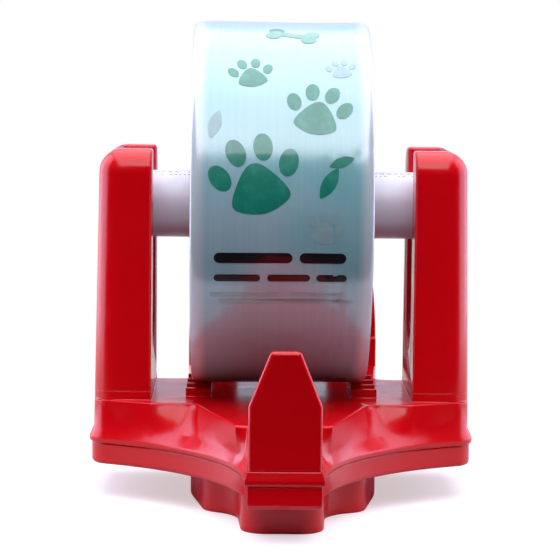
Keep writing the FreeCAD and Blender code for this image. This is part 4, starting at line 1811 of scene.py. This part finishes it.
@dataclass
class Studio:
    """A pale table in a white studio: a softbox as a roof, one beyond each side, an unlit front."""

    camera_mm: tuple[float, float, float] = (-22.6, -1417.6, 265.6)
    yaw_deg: float = -0.874
    pitch_deg: float = 5.652
    roll_deg: float = 0.604
    focal_pixels: float = 2363.4
    floor_front: float = -0.23
    floor_back: float = 3.0
    floor_side: float = 2.5
    floor_colour: str = "#CFCFD2"
    floor_bounce_colour: str = "#B4AEB2"
    floor_lift: float = 0.5
    board_tooth_mm: float = 1.5
    board_tooth_depth_mm: float = 0.02
    shadow_reach: float = 0.22
    shadow_fade: float = 0.16
    fill_strength: float = 0.20
    fill_colour: str = "#F0F2FF"
    # How far up a ray points where the fill starts, and where it is full.
    fill_from: float = -0.05
    fill_full: float = 0.35
    backdrop_colour: str = "#E0E0F6"
    dark_colour: str = "#0C0B0D"
    # How far back a ray points where the dark front ends, and where the backdrop is full.
    dark_until: float = -0.45
    bright_from: float = 0.10
    softboxes: tuple[Softbox, ...] = (
        Softbox("softbox_roof", (0.0, -0.24, 1.5), (0.0, -0.24, 0.0), 1.73, 3.6, 2.9, "#F4F7FF", 0.5),
        Softbox("softbox_left", (-0.8, 0.32, 0.6), (0.0, 0.32, 0.6), 1.0, 1.2, 3.0, "#E6DAFF"),
        Softbox("softbox_right", (0.8, 0.32, 0.6), (0.0, 0.32, 0.6), 1.0, 1.2, 2.4, "#E6DAFF"),
    )

    def camera(self) -> None:
        """Adds the camera at the photograph's place and angle."""
        yaw, pitch, roll = (math.radians(a) for a in (self.yaw_deg, self.pitch_deg, self.roll_deg))
        ahead = Vector((-math.sin(yaw), math.cos(yaw), 0.0))
        right = Vector((math.cos(yaw), math.sin(yaw), 0.0))
        up = Vector((0.0, 0.0, 1.0))
        forward = math.cos(pitch) * ahead - math.sin(pitch) * up
        top = math.sin(pitch) * ahead + math.cos(pitch) * up
        side = math.cos(roll) * right + math.sin(roll) * top
        crown = -math.sin(roll) * right + math.cos(roll) * top
        lens = bpy.data.cameras.new("camera")
        lens.sensor_width = SENSOR_MM
        lens.lens = self.focal_pixels / IMAGE_PIXELS * SENSOR_MM
        lens.clip_start = 0.05
        lens.clip_end = 20.0
        camera = bpy.data.objects.new("camera", lens)
        turn = Matrix((side, crown, -forward)).transposed().to_4x4()
        camera.matrix_world = Matrix.Translation(Vector(self.camera_mm) * MM) @ turn
        bpy.context.scene.collection.objects.link(camera)
        bpy.context.scene.camera = camera

    def world(self) -> None:
        """Sets the surround: white to the eye, with a soft fill, and dark in front in reflections."""
        world = bpy.data.worlds.new("studio")
        world.use_nodes = True
        tree = world.node_tree
        tree.nodes.clear()
        path = add_node(tree, "ShaderNodeLightPath")
        ray = add_node(tree, "ShaderNodeTexCoord").outputs["Generated"]
        parts = add_node(tree, "ShaderNodeSeparateXYZ", {"Vector": ray})
        behind = add_node(
            tree, "ShaderNodeMapRange",
            {"Value": parts.outputs["Y"], 1: self.dark_until, 2: self.bright_from, 3: 0.0, 4: 1.0},
            interpolation_type="SMOOTHSTEP",
        )
        seen = add_node(
            tree, "ShaderNodeMix",
            {
                "Factor": behind.outputs["Result"],
                6: linear(self.dark_colour),
                7: linear(self.backdrop_colour),
            },
            data_type="RGBA",
        )
        from_above = add_node(
            tree, "ShaderNodeMapRange",
            {
                "Value": parts.outputs["Z"],
                1: self.fill_from,
                2: self.fill_full,
                3: 0.0,
                4: self.fill_strength,
            },
            interpolation_type="SMOOTHSTEP",
        )
        fill = add_node(
            tree, "ShaderNodeBackground",
            {"Color": linear(self.fill_colour), "Strength": from_above.outputs["Result"]},
        )
        room = add_node(tree, "ShaderNodeBackground", {"Color": seen.outputs[2], "Strength": 1.0})
        white = add_node(tree, "ShaderNodeBackground", {"Color": WHITE, "Strength": 1.0})
        lit = add_node(
            tree, "ShaderNodeMixShader",
            {"Fac": mirrored_rays(tree, path), 1: fill.outputs["Background"], 2: room.outputs["Background"]},
        )
        whole = add_node(
            tree, "ShaderNodeMixShader",
            {"Fac": path.outputs["Is Camera Ray"], 1: lit.outputs["Shader"], 2: white.outputs["Background"]},
        )
        add_node(tree, "ShaderNodeOutputWorld", {"Surface": whole.outputs["Shader"]})
        bpy.context.scene.world = world

    def floor_material(self) -> bpy.types.Material:
        """Builds the floor's finish: matt white board that keeps the shadow and fades into the background."""
        material, tree = empty_material("matt_white_board")
        place = add_node(tree, "ShaderNodeTexCoord").outputs["Object"]
        tooth = add_node(
            tree, "ShaderNodeTexNoise",
            {"Vector": place, "Scale": per_metre(self.board_tooth_mm), "Detail": 2.0},
        )
        skin = add_node(
            tree, "ShaderNodeBump",
            {"Strength": 0.2, "Distance": self.board_tooth_depth_mm * MM, "Height": tooth.outputs["Fac"]},
        )
        path = add_node(tree, "ShaderNodeLightPath")
        seen = add_node(
            tree, "ShaderNodeMath",
            {0: path.outputs["Is Camera Ray"], 1: mirrored_rays(tree, path)},
            operation="MAXIMUM",
        )
        tone = add_node(
            tree, "ShaderNodeMix",
            {
                "Factor": seen.outputs["Value"],
                6: linear(self.floor_bounce_colour),
                7: linear(self.floor_colour),
            },
            data_type="RGBA",
        )
        matt = add_node(
            tree, "ShaderNodeBsdfDiffuse",
            {"Color": tone.outputs[2], "Normal": skin.outputs["Normal"]},
        )
        glow = add_node(
            tree, "ShaderNodeMath",
            {0: path.outputs["Is Camera Ray"], 1: self.floor_lift},
            operation="MULTIPLY",
        )
        lift = add_node(tree, "ShaderNodeEmission", {"Color": WHITE, "Strength": glow.outputs["Value"]})
        board = add_node(
            tree, "ShaderNodeAddShader",
            {0: matt.outputs["BSDF"], 1: lift.outputs["Emission"]},
        )
        away = add_node(tree, "ShaderNodeVectorMath", {0: place}, operation="LENGTH")
        far = add_node(
            tree, "ShaderNodeMapRange",
            {
                "Value": away.outputs["Value"],
                1: self.shadow_reach,
                2: self.shadow_reach + self.shadow_fade,
                3: 0.0,
                4: 1.0,
            },
            interpolation_type="SMOOTHSTEP",
        )
        share = add_node(
            tree, "ShaderNodeMath",
            {0: far.outputs["Result"], 1: seen.outputs["Value"]},
            operation="MULTIPLY",
        )
        white = add_node(tree, "ShaderNodeEmission", {"Color": WHITE, "Strength": 1.0})
        surface = add_node(
            tree, "ShaderNodeMixShader",
            {"Fac": share.outputs["Value"], 1: board.outputs["Shader"], 2: white.outputs["Emission"]},
        )
        add_node(tree, "ShaderNodeOutputMaterial", {"Surface": surface.outputs["Shader"]})
        return material

    def floor(self) -> None:
        """Adds the table top that the foot stands on."""
        side, front, back = self.floor_side, self.floor_front, self.floor_back
        corners = [(-side, front, 0.0), (side, front, 0.0), (side, back, 0.0), (-side, back, 0.0)]
        mesh = bpy.data.meshes.new("table_top")
        mesh.from_pydata(corners, [], [(0, 1, 2, 3)])
        new_object("table_top", mesh, self.floor_material())

    def build(self) -> None:
        """Builds the studio round the object."""
        bpy.context.scene.view_settings.view_transform = "Standard"
        self.floor()
        for softbox in self.softboxes:
            softbox.build()
        self.world()
        self.camera()
        log.info("studio: %d softboxes", len(self.softboxes))


def main() -> None:
    """Builds the dispenser's pieces in order, then the studio."""
    logging.basicConfig(level=logging.INFO, format="%(message)s")
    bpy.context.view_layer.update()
    black = FlexoInk("black_flexo_ink", "#0B0D12", "#191C22").material()
    Housing().build(MouldedAbs().material())
    Pipe().build(ExtrudedPvc().material(), black)
    inks = {
        Ink.GREEN: FlexoInk("green_flexo_ink", "#12806B", "#2E9A83").material(),
        Ink.BLACK: black,
        Ink.SHOW_THROUGH: FlexoInk("ink_seen_through_film", "#8FAFB6", "#9CBDC3").material(),
    }
    torn = FlexoInk("torn_film_edge", "#E4EEF2", "#CFDFE4").material()
    BagRoll().build(WoundFilm().material(), WoundBoard().material(), inks, torn)
    steel = ZincSteel().material()
    for node in sorted(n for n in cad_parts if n.endswith("_screws")):
        ScrewSet(node).build(steel)
    Studio().build()


if __name__ == "__main__":
    main()
